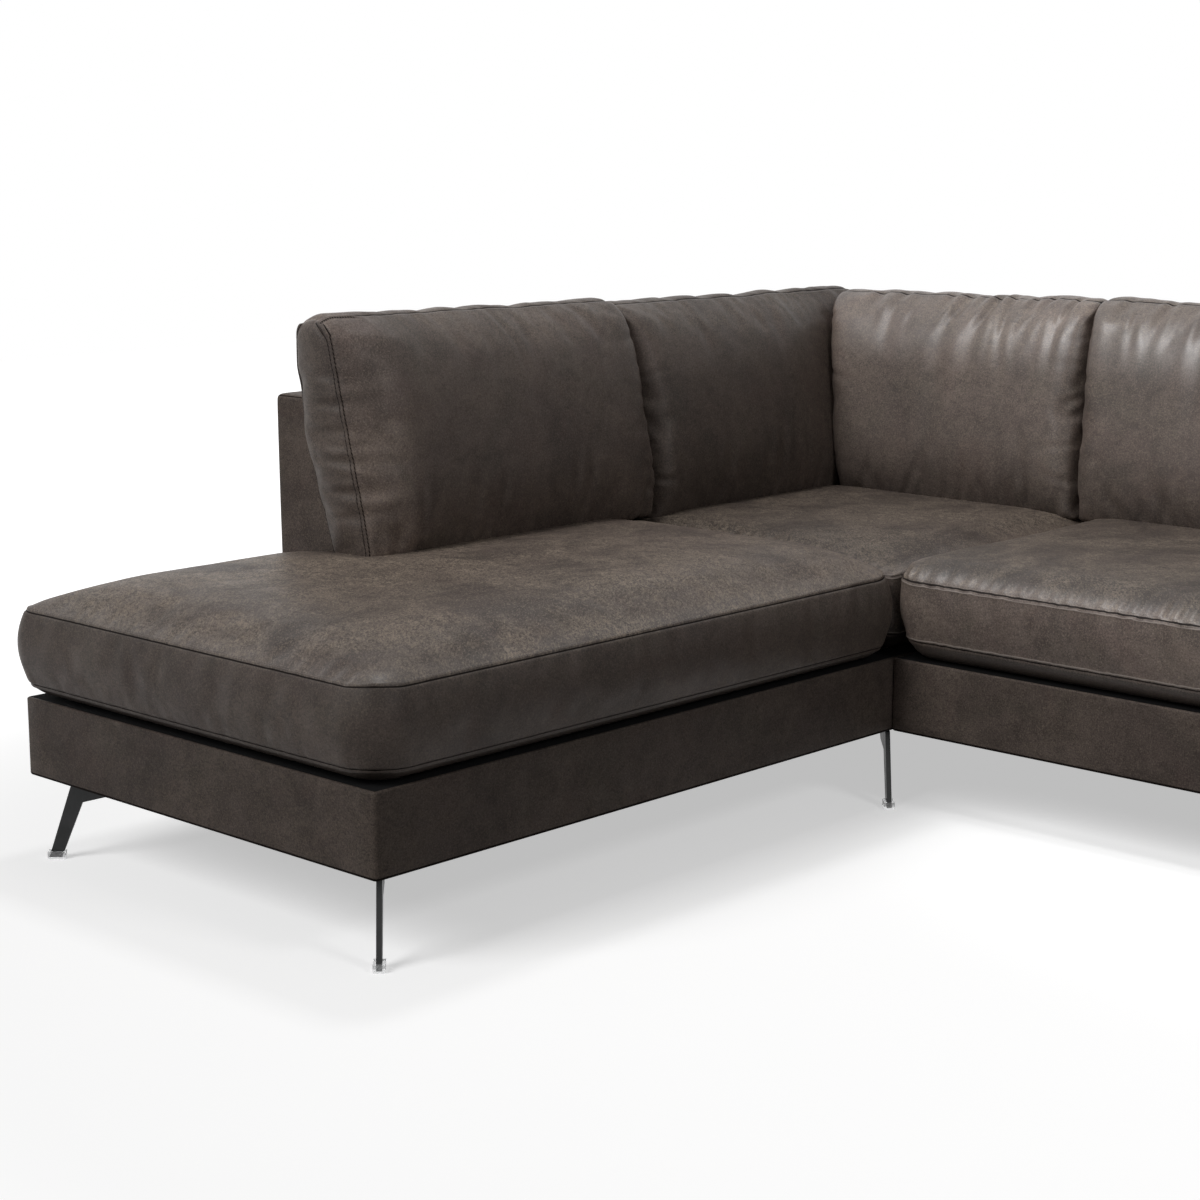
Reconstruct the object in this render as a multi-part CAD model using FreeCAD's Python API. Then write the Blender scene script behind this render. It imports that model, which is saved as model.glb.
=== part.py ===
import FreeCAD, Part
import math
import os

# An L-shaped chaise sofa on slanted steel legs. The chaise unit is the long left arm of
# the L with the corner, and the wing unit is bolted to its right side. Each has a timber
# base with webbing, a deck and a leather border, raked back frames in leather covers,
# seat cushions held by grip strips and loose back cushions that lift off.
# Lengths are in millimetres and angles in degrees. The plan has its zero at the front
# left corner of the chaise base, and the model is moved to its centre when it is written.

# Plan sizes
unit_depth = 895.0            # width of the chaise and depth of the wing
chaise_reach = 1264.0         # how far the chaise stands out before the wing
open_side_length = 562.0      # chaise side left free, in front of the left back
wing_seat_width = 750.0
wing_seat_count = 2
arm_width = 190.0
arm_top_height = 600.0

# Heights
leg_height = 150.0
base_height = 137.0
back_top_height = 762.0
back_cushion_tops = [915.0, 899.0, 893.0, 896.0, 896.0]
seat_seam_height = 438.0
seat_lower_seam_height = 315.0
chaise_seat_crown_height = 490.0
wing_seat_crown_height = 478.0

# Base
border_thickness = 5.0
rail_thickness = 25.0
dust_cover_thickness = 1.0
deck_thickness = 2.0
strap_thickness = 1.5
strap_width = 60.0
strap_pitch = 125.0
leg_block_size = 132.0
leg_block_height = 28.0

# Backs and arm
back_top_thickness = 90.0
back_foot_thickness = 185.0
cover_thickness = 6.0
rib_thickness = 18.0
rib_pitch = 520.0
back_rail_height = 70.0
back_rail_thickness = 22.0
back_strap_shares = (0.18, 0.5, 0.82)
back_edge_radius = 10.0
arm_edge_radius = 16.0

# Seat cushions
seat_overhang = 18.0
seat_corner_radius = 34.0
inner_seat_corner_radius = 14.0
seat_side_bulge = 14.0
seat_underside_draw = 34.0
underside_bow_share = 0.16
seat_fall_length = 210.0
seat_hidden_fall_length = 80.0
seat_skin = 12.0
seat_end_crown_shares = ((0, 0.10), (0.134, 0.16), (0.5, 0.24), (1, 0.34), (1.6, 0.47))
seat_fall_crown_shares = ((0.35, 0.72), (0.7, 0.94), (1, 1), (1.3, 1))

# Back cushions
back_seam_top_drop = 9.0
back_foot_reach = 266.0
back_crown_reach = 40.0
back_top_reach = 172.0
back_rear_top_reach = 84.0
back_rear_top_drop = 34.0
back_end_round = 10.0
back_skin = 12.0
back_end_shares = (
    (0, 1, 0.10), (0.3, 0.35, 0.16), (1, 0, 0.24), (2, 0, 0.36),
    (8, 0, 0.68), (18, 0, 0.94), (26, 0, 1))
first_cushion_share = 0.527
corner_lean_share = 0.9

# Grip strips
grip_thickness = 1.5
grip_width = 50.0
grip_inset = 120.0

# Legs, in the upright plane of the corner's diagonal
blade_thickness = 9.0
foot_reach = 29.0
foot_width = 22.0
sole_thickness = 3.0
outer_knee_reach = 73.0
outer_knee_height = 137.0
inner_knee_reach = 90.0
inner_knee_height = 100.0
arm_bend_reach = 130.0
arm_bend_height = 109.0
arm_end_reach = 168.0
arm_start_reach = 122.0
plate_start_reach = 112.0
plate_length = 70.0
plate_width = 50.0
plate_thickness = 4.0
inner_leg_shift = 22.0
glide_length = 30.0
glide_width = 19.0
glide_height = 13.0
glide_start_reach = 27.0

# Fasteners
screw_radius = 2.5
screw_length = 22.0
screw_head_radius = 5.0
screw_head_height = 3.0
screw_edge = 9.0
bolt_radius = 4.0
bolt_head_radius = 8.0
bolt_head_height = 5.0
bolt_hole_clearance = 0.2
link_bolt_count = 3
back_bolt_length = 150.0

# Clearances
soft_clearance = 0.4
seat_gap = 2.0
rest_clearance = 0.3
cushion_rise_clearance = 1.5
core_clearance = 0.4
cut_overrun = 20.0

# Places worked out from the sizes above
base_top = leg_height + base_height
rail_bottom = leg_height + dust_cover_thickness
rail_top = base_top - deck_thickness - 2 * strap_thickness
rail_inset = border_thickness + rail_thickness
total_depth = chaise_reach + unit_depth
wing_seats_length = wing_seat_width * wing_seat_count
arm_start = unit_depth + wing_seats_length
total_width = arm_start + arm_width
seat_bottom = base_top + grip_thickness + rest_clearance
back_wall_face = back_foot_thickness + seat_gap
plan_centre_x = (total_width - seat_overhang) / 2
plan_centre_y = (total_depth - seat_overhang) / 2

os.makedirs("parts", exist_ok=True)


def vec(x, y, z):
    return FreeCAD.Vector(x, y, z)


def box(x0, y0, z0, x1, y1, z1):
    """A block between two opposite corners."""
    return Part.makeBox(x1 - x0, y1 - y0, z1 - z0, vec(x0, y0, z0))


def write(name, solids):
    """Moves the solids to the sofa's middle and writes them as one named sub-part."""
    found = []
    for item in solids:
        found.extend(item.Solids)
    shape = found[0] if len(found) == 1 else Part.makeCompound(found)
    shape = shape.copy()
    shape.translate(vec(-plan_centre_x, -plan_centre_y, 0))
    shape.exportStep(os.path.join("parts", name + ".step"))
    volume = sum(s.Volume for s in found)
    valid = all(s.isValid() and s.Volume > 0 for s in found)
    print(f"{name:26s} solids {len(found):3d}  volume {volume / 1e6:10.3f} dm3  valid {valid}")


# Walls: a point is given by its distance from the outer back plane, its place along the
# wall and its height. The left wall runs back along the chaise, the rear wall to the right.

def on_wall(wall, reach, along, height):
    if wall == "left":
        return vec(reach, along, height)
    return vec(along, total_depth - reach, height)


def prism(wall, outline, start, end):
    """An outline of reach and height, drawn out along a wall."""
    points = [on_wall(wall, reach, start, height) for reach, height in outline]
    face = Part.Face(Part.makePolygon(points + points[:1]))
    travel = on_wall(wall, 0, end, 0) - on_wall(wall, 0, start, 0)
    return face.extrude(travel)


def upright_prism(outline, place, angle, thickness):
    """An outline of reach and height in the upright plane at an angle, as thick as asked."""
    points = [vec(reach, -thickness / 2, height) for reach, height in outline]
    face = Part.Face(Part.makePolygon(points + points[:1]))
    solid = face.extrude(vec(0, thickness, 0))
    solid.rotate(vec(0, 0, 0), vec(0, 0, 1), angle)
    solid.translate(place)
    return solid


def rounded(solid, radius, wanted):
    """Fillets the edges for which wanted(edge) holds."""
    edges = [e for e in solid.Edges if wanted(e)]
    return solid.makeFillet(radius, edges)


def drill(solids, tools):
    """Takes the tools out of each solid that they reach."""
    drilled = []
    for solid in solids:
        near = [t for t in tools if t.BoundBox.intersect(solid.BoundBox)]
        drilled.append(solid.cut(near) if near else solid)
    return drilled


def spread(start, end, pitch):
    """Even places from start to end, no further apart than the pitch."""
    count = max(1, math.ceil((end - start) / pitch))
    return [start + (end - start) * i / count for i in range(count + 1)]


# Bases

def base_rails(x0, y0, x1, y1, cross_places):
    """Long rails along Y at both sides, and cross rails along X between them."""
    inset = rail_inset
    side = [
        box(x0 + border_thickness, y0 + border_thickness, rail_bottom,
            x0 + inset, y1 - border_thickness, rail_top),
        box(x1 - inset, y0 + border_thickness, rail_bottom,
            x1 - border_thickness, y1 - border_thickness, rail_top),
    ]
    cross = [
        box(x0 + inset, y, rail_bottom, x1 - inset, y + rail_thickness, rail_top)
        for y in cross_places
    ]
    return side, cross


def base_border(x0, y0, x1, y1):
    """Four leather strips round the rails."""
    t = border_thickness
    return [
        box(x0, y0, leg_height, x1, y0 + t, base_top),
        box(x0, y1 - t, leg_height, x1, y1, base_top),
        box(x0, y0 + t, leg_height, x0 + t, y1 - t, base_top),
        box(x1 - t, y0 + t, leg_height, x1, y1 - t, base_top),
    ]


def base_sheet(x0, y0, x1, y1, low, high):
    """A sheet that fills the border's inside between two heights."""
    t = border_thickness
    return box(x0 + t, y0 + t, low, x1 - t, y1 - t, high)


def straps(x0, y0, x1, y1, low, lengthwise):
    """Webbing straps side by side over the rails."""
    t = border_thickness
    edge = rail_inset + strap_width
    found = []
    if lengthwise:
        for x in spread(x0 + edge, x1 - edge, strap_pitch):
            found.append(box(x - strap_width / 2, y0 + t, low,
                             x + strap_width / 2, y1 - t, low + strap_thickness))
    else:
        for y in spread(y0 + edge, y1 - edge, strap_pitch):
            found.append(box(x0 + t, y - strap_width / 2, low,
                             x1 - t, y + strap_width / 2, low + strap_thickness))
    return found


def leg_block(x, sign_x, y, sign_y):
    """A timber block with one corner at x, y, which grows in the direction of the signs."""
    xs = sorted((x, x + sign_x * leg_block_size))
    ys = sorted((y, y + sign_y * leg_block_size))
    return box(xs[0], ys[0], rail_bottom, xs[1], ys[1], rail_bottom + leg_block_height)


# Legs

def leg_outline():
    plate_under = leg_height - plate_thickness
    return [
        (foot_reach, sole_thickness),
        (foot_reach + foot_width, sole_thickness),
        (inner_knee_reach, inner_knee_height),
        (arm_bend_reach, arm_bend_height),
        (arm_end_reach, plate_under),
        (arm_start_reach, plate_under),
        (outer_knee_reach, outer_knee_height),
    ]


def leg_parts(x, y, angle):
    """A leg with its plate, its glide and its four screws, for a corner at x, y."""
    place = vec(x, y, 0)
    blade = upright_prism(leg_outline(), place, angle, blade_thickness)
    plate_top = leg_height
    plate_under = plate_top - plate_thickness
    plate = upright_prism(
        [(plate_start_reach, plate_under), (plate_start_reach + plate_length, plate_under),
         (plate_start_reach + plate_length, plate_top), (plate_start_reach, plate_top)],
        place, angle, plate_width)
    leg = blade.fuse(plate).removeSplitter()
    glide = upright_prism(
        [(glide_start_reach, 0), (glide_start_reach + glide_length, 0),
         (glide_start_reach + glide_length, glide_height), (glide_start_reach, glide_height)],
        place, angle, glide_width).cut(blade)
    screws = []
    shanks = []
    for reach in (plate_start_reach + screw_edge, plate_start_reach + plate_length - screw_edge):
        for side in (-1, 1):
            local = vec(reach, side * (plate_width / 2 - screw_edge), 0)
            spot = FreeCAD.Rotation(vec(0, 0, 1), angle).multVec(local) + place
            shank = Part.makeCylinder(screw_radius, screw_length, spot + vec(0, 0, plate_under))
            head = Part.makeCylinder(screw_head_radius, screw_head_height,
                                     spot + vec(0, 0, plate_under - screw_head_height))
            shanks.append(shank)
            screws.append(shank.fuse(head).removeSplitter())
    return leg.cut(shanks), glide, screws, shanks


# Backs and arm

def back_outline(skin):
    """The raked back in reach and height, drawn in by a skin."""
    foot_height = wing_seat_crown_height
    lean = (back_foot_thickness - back_top_thickness) / (back_top_height - foot_height)
    top = back_top_height - skin
    drawn_in = skin * math.sqrt(1 + lean * lean)
    top_reach = back_top_thickness + lean * skin - drawn_in
    knee_drop = (drawn_in - skin) / lean
    return [
        (skin, base_top + skin),
        (back_foot_thickness - skin, base_top + skin),
        (back_foot_thickness - skin, foot_height - knee_drop),
        (top_reach, top),
        (skin, top),
    ]


def back_section(wall, start, end, beside=False):
    """The hollow cover of a back, its ribs, rails and straps, and the middle of each bay.
    Beside is true for the back that meets the left back in the corner."""
    skin = cover_thickness
    outer = prism(wall, back_outline(0), start, end)

    def top_edge(edge):
        return edge.BoundBox.ZMin > back_top_height - rest_clearance

    outer = rounded(outer, back_edge_radius, top_edge)
    hollow = prism(wall, back_outline(skin), start + skin, end - skin)
    first = start + skin
    if beside:
        outer = outer.cut(prism("left", back_outline(0), open_side_length, total_depth))
        hollow = hollow.cut(prism("left", back_outline(-skin), open_side_length, total_depth))
        first = back_foot_thickness + skin
    cover = outer.cut(hollow)
    low = base_top + skin
    rib_outline = back_outline(skin + strap_thickness)
    rib_outline[0] = (skin, low)
    rib_outline[1] = (rib_outline[1][0], low)
    rib_outline[4] = (skin, rib_outline[4][1])
    knee, tip = rib_outline[2], rib_outline[3]
    places = spread(first, end - skin - rib_thickness, rib_pitch)
    ribs = [prism(wall, rib_outline, s, s + rib_thickness) for s in places]
    rails = []
    bays = []
    for s0, s1 in zip(places[:-1], places[1:]):
        bays.append((s0 + rib_thickness + s1) / 2)
        for z0, z1 in ((low, low + back_rail_height), (tip[1] - back_rail_height, tip[1])):
            rail = [(skin, z0), (skin + back_rail_thickness, z0),
                    (skin + back_rail_thickness, z1), (skin, z1)]
            rails.append(prism(wall, rail, s0 + rib_thickness, s1))
    run = math.hypot(tip[0] - knee[0], tip[1] - knee[1])
    up_reach, up_height = (tip[0] - knee[0]) / run, (tip[1] - knee[1]) / run
    half = strap_width / 2
    bands = []
    for share in back_strap_shares:
        reach = knee[0] + (tip[0] - knee[0]) * share
        height = knee[1] + (tip[1] - knee[1]) * share
        corners = []
        for up, out in ((-half, 0), (half, 0), (half, strap_thickness), (-half, strap_thickness)):
            corners.append((reach + up_reach * up + up_height * out,
                            height + up_height * up - up_reach * out))
        bands.append(prism(wall, corners, first, end - skin))
    return cover, ribs, rails, bands, bays


def arm_parts():
    """The hollow cover of the arm with its two panels and three rails."""
    x0, x1 = arm_start, total_width
    y0, y1 = chaise_reach, total_depth
    outer = box(x0, y0, base_top, x1, y1, arm_top_height)

    def soft_edge(edge):
        return edge.BoundBox.ZMax > arm_top_height - rest_clearance

    outer = rounded(outer, arm_edge_radius, soft_edge)
    skin = cover_thickness
    cover = outer.cut(box(x0 + skin, y0 + skin, base_top + skin,
                          x1 - skin, y1 - skin, arm_top_height - skin))
    low, high = base_top + skin, arm_top_height - skin
    panels = [
        box(x0 + skin, y0 + skin, low, x0 + skin + rib_thickness, y1 - skin, high),
        box(x1 - skin - rib_thickness, y0 + skin, low, x1 - skin, y1 - skin, high),
    ]
    rails = []
    span0, span1 = x0 + skin + rib_thickness, x1 - skin - rib_thickness
    for y in (y0 + skin, (y0 + y1 - back_rail_thickness) / 2, y1 - skin - back_rail_thickness):
        rails.append(box(span0, y, low, span1, y + back_rail_thickness, high))
    return cover, panels, rails


# Cushions

def arc_to_level(seam, level):
    """An arc from a seam point that arrives level at another point, as three points."""
    (u0, z0), (u1, z1) = seam, level
    run, rise = abs(u1 - u0), z1 - z0
    radius = (run * run + rise * rise) / (2 * rise)
    half = math.asin(run / radius) / 2
    side = 1 if u0 > u1 else -1
    middle = (u1 + side * radius * math.sin(half), z1 - radius * (1 - math.cos(half)))
    return seam, middle, level


def mid(a, b, out):
    """The middle of two points, pushed outwards along the first coordinate."""
    return ((a[0] + b[0]) / 2 + out, (a[1] + b[1]) / 2)


def seat_edges(u0, u1, crown, inset, skin, falls):
    """The closed outline of a seat cushion across its loft, as lines and arcs."""
    low = seat_bottom + skin
    seam_low = seat_lower_seam_height + skin
    seam_high = seat_seam_height - skin
    top = crown - skin
    edges = []
    left, right = u0 + inset + skin, u1 - inset - skin
    bulge = seat_side_bulge
    foot_left = (left + seat_underside_draw, low)
    foot_right = (right - seat_underside_draw, low)
    lower_right, upper_right = (right - bulge, seam_low), (right - bulge, seam_high)
    lower_left, upper_left = (left + bulge, seam_low), (left + bulge, seam_high)
    level_right = (u1 - skin - bulge - falls[1], top)
    level_left = (u0 + skin + bulge + falls[0], top)
    drop = (seam_low - low) * underside_bow_share
    edges.append((foot_left, foot_right))
    edges.append((foot_right, (mid(foot_right, lower_right, 0)[0] + drop,
                               mid(foot_right, lower_right, 0)[1] - drop), lower_right))
    edges.append((lower_right, mid(lower_right, upper_right, bulge), upper_right))
    edges.append(arc_to_level(upper_right, level_right))
    edges.append((level_right, level_left))
    edges.append(tuple(reversed(arc_to_level(upper_left, level_left))))
    edges.append((upper_left, mid(upper_left, lower_left, -bulge), lower_left))
    edges.append((lower_left, (mid(foot_left, lower_left, 0)[0] - drop,
                               mid(foot_left, lower_left, 0)[1] - drop), foot_left))
    return edges


def wire_of(edges, place):
    """A closed wire through edges of two or three points, placed in the room."""
    made = []
    for points in edges:
        spots = [place(*p) for p in points]
        if len(spots) == 2:
            made.append(Part.LineSegment(spots[0], spots[1]).toShape())
        else:
            made.append(Part.Arc(spots[0], spots[1], spots[2]).toShape())
    return Part.Wire(made)


def seat_stations(s0, s1, radius, skin, end_falls):
    """Places along a seat cushion, each with its corner inset and its share of the crown."""
    sides = []
    for fall in end_falls:
        near = []
        for run_share, crown_share in seat_end_crown_shares:
            run = run_share * radius
            inset = radius - math.sqrt(radius ** 2 - max(0, radius - run) ** 2)
            near.append((run, inset, crown_share))
        for fall_share, crown_share in seat_fall_crown_shares:
            near.append((radius + fall_share * fall, 0, crown_share))
        sides.append(near)
    start = [(s0 + skin + run, inset, share) for run, inset, share in sides[0]]
    end = [(s1 - skin - run, inset, share) for run, inset, share in reversed(sides[1])]
    return start + [((start[-1][0] + end[0][0]) / 2, 0, 1)] + end


def seat_solid(across, span, run, crown, radius, falls, end_falls, skin):
    """A crowned seat cushion with drawn-in sides, whose outline spans the axis across."""
    wires = []
    for s, inset, share in seat_stations(run[0], run[1], radius, skin, end_falls):
        top = seat_seam_height + (crown - seat_seam_height) * share
        edges = seat_edges(span[0], span[1], top, inset, skin, falls)
        if across == "x":
            wires.append(wire_of(edges, lambda u, z, s=s: vec(u, s, z)))
        else:
            wires.append(wire_of(edges, lambda u, z, s=s: vec(s, u, z)))
    return Part.makeLoft(wires, True, False)


def seat_pair(across, span, run, crown, radius, falls, end_falls, notch=None):
    """The hollow cover and the foam core of a seat cushion."""
    shapes = []
    for skin in (0, seat_skin, seat_skin + core_clearance):
        solid = seat_solid(across, span, run, crown, radius, falls, end_falls, skin)
        if notch:
            x, y = notch
            solid = solid.cut(box(span[0] - cut_overrun, y - skin, 0,
                                  x + skin, run[1] + cut_overrun, crown + cut_overrun))
        shapes.append(solid)
    outer, hollow, core = shapes
    return outer.cut(hollow), core


def back_edges(top, bottom, inset, crown, skin):
    """The closed outline of a back cushion in reach and height, as lines and arcs."""
    foot_height = wing_seat_crown_height
    lean = (back_foot_thickness - back_top_thickness) / (back_top_height - foot_height)
    low = bottom + skin + inset / 2
    off = soft_clearance + skin
    rear_low = (back_foot_thickness - lean * max(0, low - foot_height) + off, low)
    rear_mid = (back_top_thickness + off, back_top_height + skin / 2)
    rear_top = (back_rear_top_reach + skin + inset / 2, top - back_rear_top_drop - skin - inset)
    front_top = (back_top_reach - skin - inset, top - back_seam_top_drop - skin - inset)
    front_low = (back_foot_reach - skin - inset, low)
    crest = ((rear_top[0] + front_top[0]) / 2, top - skin - inset)
    return [
        (rear_low, front_low),
        (front_low, mid(front_low, front_top, crown), front_top),
        (front_top, crest, rear_top),
        (rear_top, rear_mid),
        (rear_mid, rear_low),
    ]


def back_solid(wall, start, end, top, bottom, leans, skin):
    """A back cushion lofted along its wall. Leans are how far each end shifts per height."""
    middle = (start + end) / 2
    stations = [(middle, 0, 1, 0)]
    for run_share, inset_share, crown_share in reversed(back_end_shares):
        run = skin + run_share * back_end_round
        inset = inset_share * back_end_round
        stations.insert(0, (start + run, inset, crown_share, leans[0]))
        stations.append((end - run, inset, crown_share, leans[1]))
    stations.sort()
    wires = []
    for along, inset, crown_share, lean in stations:
        shift = lean * abs(along - middle) / (end - middle)
        edges = back_edges(top, bottom, inset, back_crown_reach * crown_share, skin)

        def place(reach, height, along=along, shift=shift):
            return on_wall(wall, reach, along + shift * (height - bottom), height)

        wires.append(wire_of(edges, place))
    return Part.makeLoft(wires, True, False)


def back_pair(wall, start, end, top, bottom, leans=(0, 0)):
    """The hollow cover and the filling of a back cushion."""
    skins = (0, back_skin, back_skin + core_clearance)
    outer, hollow, core = [back_solid(wall, start, end, top, bottom, leans, s) for s in skins]
    return outer.cut(hollow), core


nodes = {}

# Chaise unit base
wing_seat_rear = total_depth - back_wall_face
chaise_area = (0, 0, unit_depth, total_depth)
middle_rail = chaise_reach - rail_thickness / 2
chaise_cross_places = [
    border_thickness,
    chaise_reach / 2,
    middle_rail,
    wing_seat_rear,
    total_depth - rail_inset,
]
nodes["chaise_side_rails"], nodes["chaise_cross_rails"] = base_rails(
    *chaise_area, chaise_cross_places)
nodes["chaise_leg_blocks"] = [
    leg_block(rail_inset, 1, rail_inset, 1),
    leg_block(unit_depth - rail_inset, -1, rail_inset, 1),
    leg_block(unit_depth - rail_inset, -1, middle_rail + rail_thickness, 1),
    leg_block(rail_inset, 1, total_depth - rail_inset, -1),
    leg_block(unit_depth - rail_inset, -1, total_depth - rail_inset, -1),
]
nodes["chaise_border"] = base_border(*chaise_area)
nodes["chaise_long_straps"] = straps(*chaise_area, rail_top, True)
nodes["chaise_cross_straps"] = straps(*chaise_area, rail_top + strap_thickness, False)
nodes["chaise_deck"] = [base_sheet(*chaise_area, base_top - deck_thickness, base_top)]
nodes["chaise_dust_cover"] = [base_sheet(*chaise_area, leg_height, rail_bottom)]

# Wing unit base
wing_area = (unit_depth, chaise_reach, total_width, total_depth)
nodes["wing_long_rails"] = [
    box(unit_depth + border_thickness, y, rail_bottom,
        total_width - border_thickness, y + rail_thickness, rail_top)
    for y in (chaise_reach + border_thickness, total_depth - rail_inset)
]
nodes["wing_cross_rails"] = [
    box(x, chaise_reach + rail_inset, rail_bottom,
        x + rail_thickness, total_depth - rail_inset, rail_top)
    for x in spread(unit_depth + border_thickness, total_width - rail_inset, wing_seat_width)
]
nodes["wing_leg_blocks"] = [
    leg_block(total_width - rail_inset, -1, chaise_reach + rail_inset, 1),
    leg_block(total_width - rail_inset, -1, total_depth - rail_inset, -1),
]
nodes["wing_border"] = base_border(*wing_area)
nodes["wing_long_straps"] = straps(*wing_area, rail_top, False)
nodes["wing_cross_straps"] = straps(*wing_area, rail_top + strap_thickness, True)
nodes["wing_deck"] = [base_sheet(*wing_area, base_top - deck_thickness, base_top)]
nodes["wing_dust_cover"] = [base_sheet(*wing_area, leg_height, rail_bottom)]

# Legs, each with its corner and the direction in which it reaches inwards
legs = {
    "leg_front_left": (0, 0, 45),
    "leg_front_right": (unit_depth, 0, 135),
    "leg_inner_corner": (unit_depth + inner_leg_shift, chaise_reach - inner_leg_shift, 135),
    "leg_rear_left": (0, total_depth, -45),
    "leg_rear_middle": (unit_depth, total_depth, -135),
    "leg_wing_front": (total_width, chaise_reach, 135),
    "leg_wing_rear": (total_width, total_depth, -135),
}
nodes["leg_glides"] = []
nodes["leg_screws"] = []
screw_shanks = []
for name, (x, y, angle) in legs.items():
    leg, glide, screws, shanks = leg_parts(x, y, angle)
    nodes[name] = [leg]
    nodes["leg_glides"].append(glide)
    nodes["leg_screws"].extend(screws)
    screw_shanks.extend(shanks)
for name in ("chaise_leg_blocks", "chaise_dust_cover", "wing_leg_blocks", "wing_dust_cover"):
    nodes[name] = drill(nodes[name], screw_shanks)

# Backs and arm
nodes["back_straps"] = []
bolt_spots = []
for name, wall, start, end, beside in (
    ("left_back", "left", open_side_length, total_depth, False),
    ("corner_back", "rear", back_top_thickness, unit_depth, True),
    ("wing_back", "rear", unit_depth, arm_start, False),
):
    cover, ribs, rails, bands, bays = back_section(wall, start, end, beside)
    nodes[name + "_cover"] = [cover]
    nodes[name + "_ribs"] = ribs
    nodes[name + "_rails"] = rails
    nodes["back_straps"].extend(bands)
    bolt_spots.extend(on_wall(wall, border_thickness + rail_thickness / 2, s, 0) for s in bays)
arm_cover, arm_panels, arm_rails = arm_parts()
nodes["arm_cover"] = [arm_cover]
nodes["arm_panels"] = arm_panels
nodes["arm_rails"] = arm_rails

# Bolts that stand the backs on the base rails
nodes["back_bolts"] = []
back_holes = []
head_height = base_top + cover_thickness + back_rail_height
for spot in bolt_spots:
    tip = spot + vec(0, 0, head_height - back_bolt_length)
    shaft = Part.makeCylinder(bolt_radius, back_bolt_length, tip)
    head = Part.makeCylinder(bolt_head_radius, bolt_head_height, spot + vec(0, 0, head_height))
    nodes["back_bolts"].append(shaft.fuse(head).removeSplitter())
    back_holes.append(Part.makeCylinder(bolt_radius + bolt_hole_clearance, back_bolt_length, tip))
for name in (
    "left_back_rails", "corner_back_rails", "wing_back_rails",
    "left_back_cover", "corner_back_cover", "wing_back_cover",
    "chaise_deck", "chaise_long_straps", "chaise_cross_straps",
    "chaise_side_rails", "chaise_cross_rails",
    "wing_deck", "wing_long_straps", "wing_cross_straps", "wing_long_rails",
):
    nodes[name] = drill(nodes[name], back_holes)

# Bolts that hold the two units together, through both rails and both borders
nodes["unit_bolts"] = []
unit_holes = []
bolt_height = (rail_bottom + rail_top) / 2
grip = 2 * rail_inset
along_x = vec(1, 0, 0)
bay_start, bay_end = middle_rail + rail_thickness, wing_seat_rear
for y in spread(bay_start, bay_end, (bay_end - bay_start) / (link_bolt_count + 1))[1:-1]:
    seat = vec(unit_depth - rail_inset, y, bolt_height)
    shaft = Part.makeCylinder(bolt_radius, grip, seat, along_x)
    head = Part.makeCylinder(bolt_head_radius, bolt_head_height,
                             seat - along_x * bolt_head_height, along_x)
    nut = Part.makeCylinder(bolt_head_radius, bolt_head_height, seat + along_x * grip, along_x)
    nodes["unit_bolts"].append(shaft.fuse([head, nut]).removeSplitter())
    unit_holes.append(Part.makeCylinder(bolt_radius + bolt_hole_clearance, grip, seat, along_x))
for name in ("chaise_side_rails", "wing_cross_rails", "chaise_border", "wing_border"):
    nodes[name] = drill(nodes[name], unit_holes)

# Seat cushions: the axis that the outline spans, the outline's span, the run along the
# cushion, the crown, the corner radius, and the falls of the crown at sides and ends
free, hidden = seat_fall_length, seat_hidden_fall_length
wing_span = (chaise_reach - seat_overhang, wing_seat_rear)
seats = {
    "chaise_seat": (
        "x", (-seat_overhang, unit_depth + seat_overhang),
        (-seat_overhang, chaise_reach - seat_gap / 2),
        chaise_seat_crown_height, seat_corner_radius, (free, free), (free, free),
        (back_wall_face, open_side_length - soft_clearance)),
    "corner_seat": (
        "x", (back_wall_face, unit_depth - seat_gap / 2),
        (chaise_reach + seat_gap / 2, wing_seat_rear),
        wing_seat_crown_height, inner_seat_corner_radius, (hidden, free), (free, hidden), None),
}
for i in range(wing_seat_count):
    start = unit_depth + i * wing_seat_width
    seats[f"wing_seat_{i + 1}"] = (
        "y", wing_span, (start + seat_gap / 2, start + wing_seat_width - seat_gap / 2),
        wing_seat_crown_height, seat_corner_radius, (free, hidden), (free, free), None)
nodes["seat_grip_strips"] = []
for name, (across, span, run, crown, radius, falls, end_falls, notch) in seats.items():
    cover, core = seat_pair(across, span, run, crown, radius, falls, end_falls, notch)
    nodes[name + "_cover"] = [cover]
    nodes[name + "_core"] = [core]
    low, high = (span[0] if notch is None else back_wall_face) + grip_inset, span[1] - grip_inset
    for s in (run[0] + grip_inset, run[1] - grip_inset - grip_width):
        ends = (low, s, high, s + grip_width) if across == "x" else (s, low, s + grip_width, high)
        nodes["seat_grip_strips"].append(
            box(ends[0], ends[1], base_top, ends[2], ends[3], base_top + grip_thickness))

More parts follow.
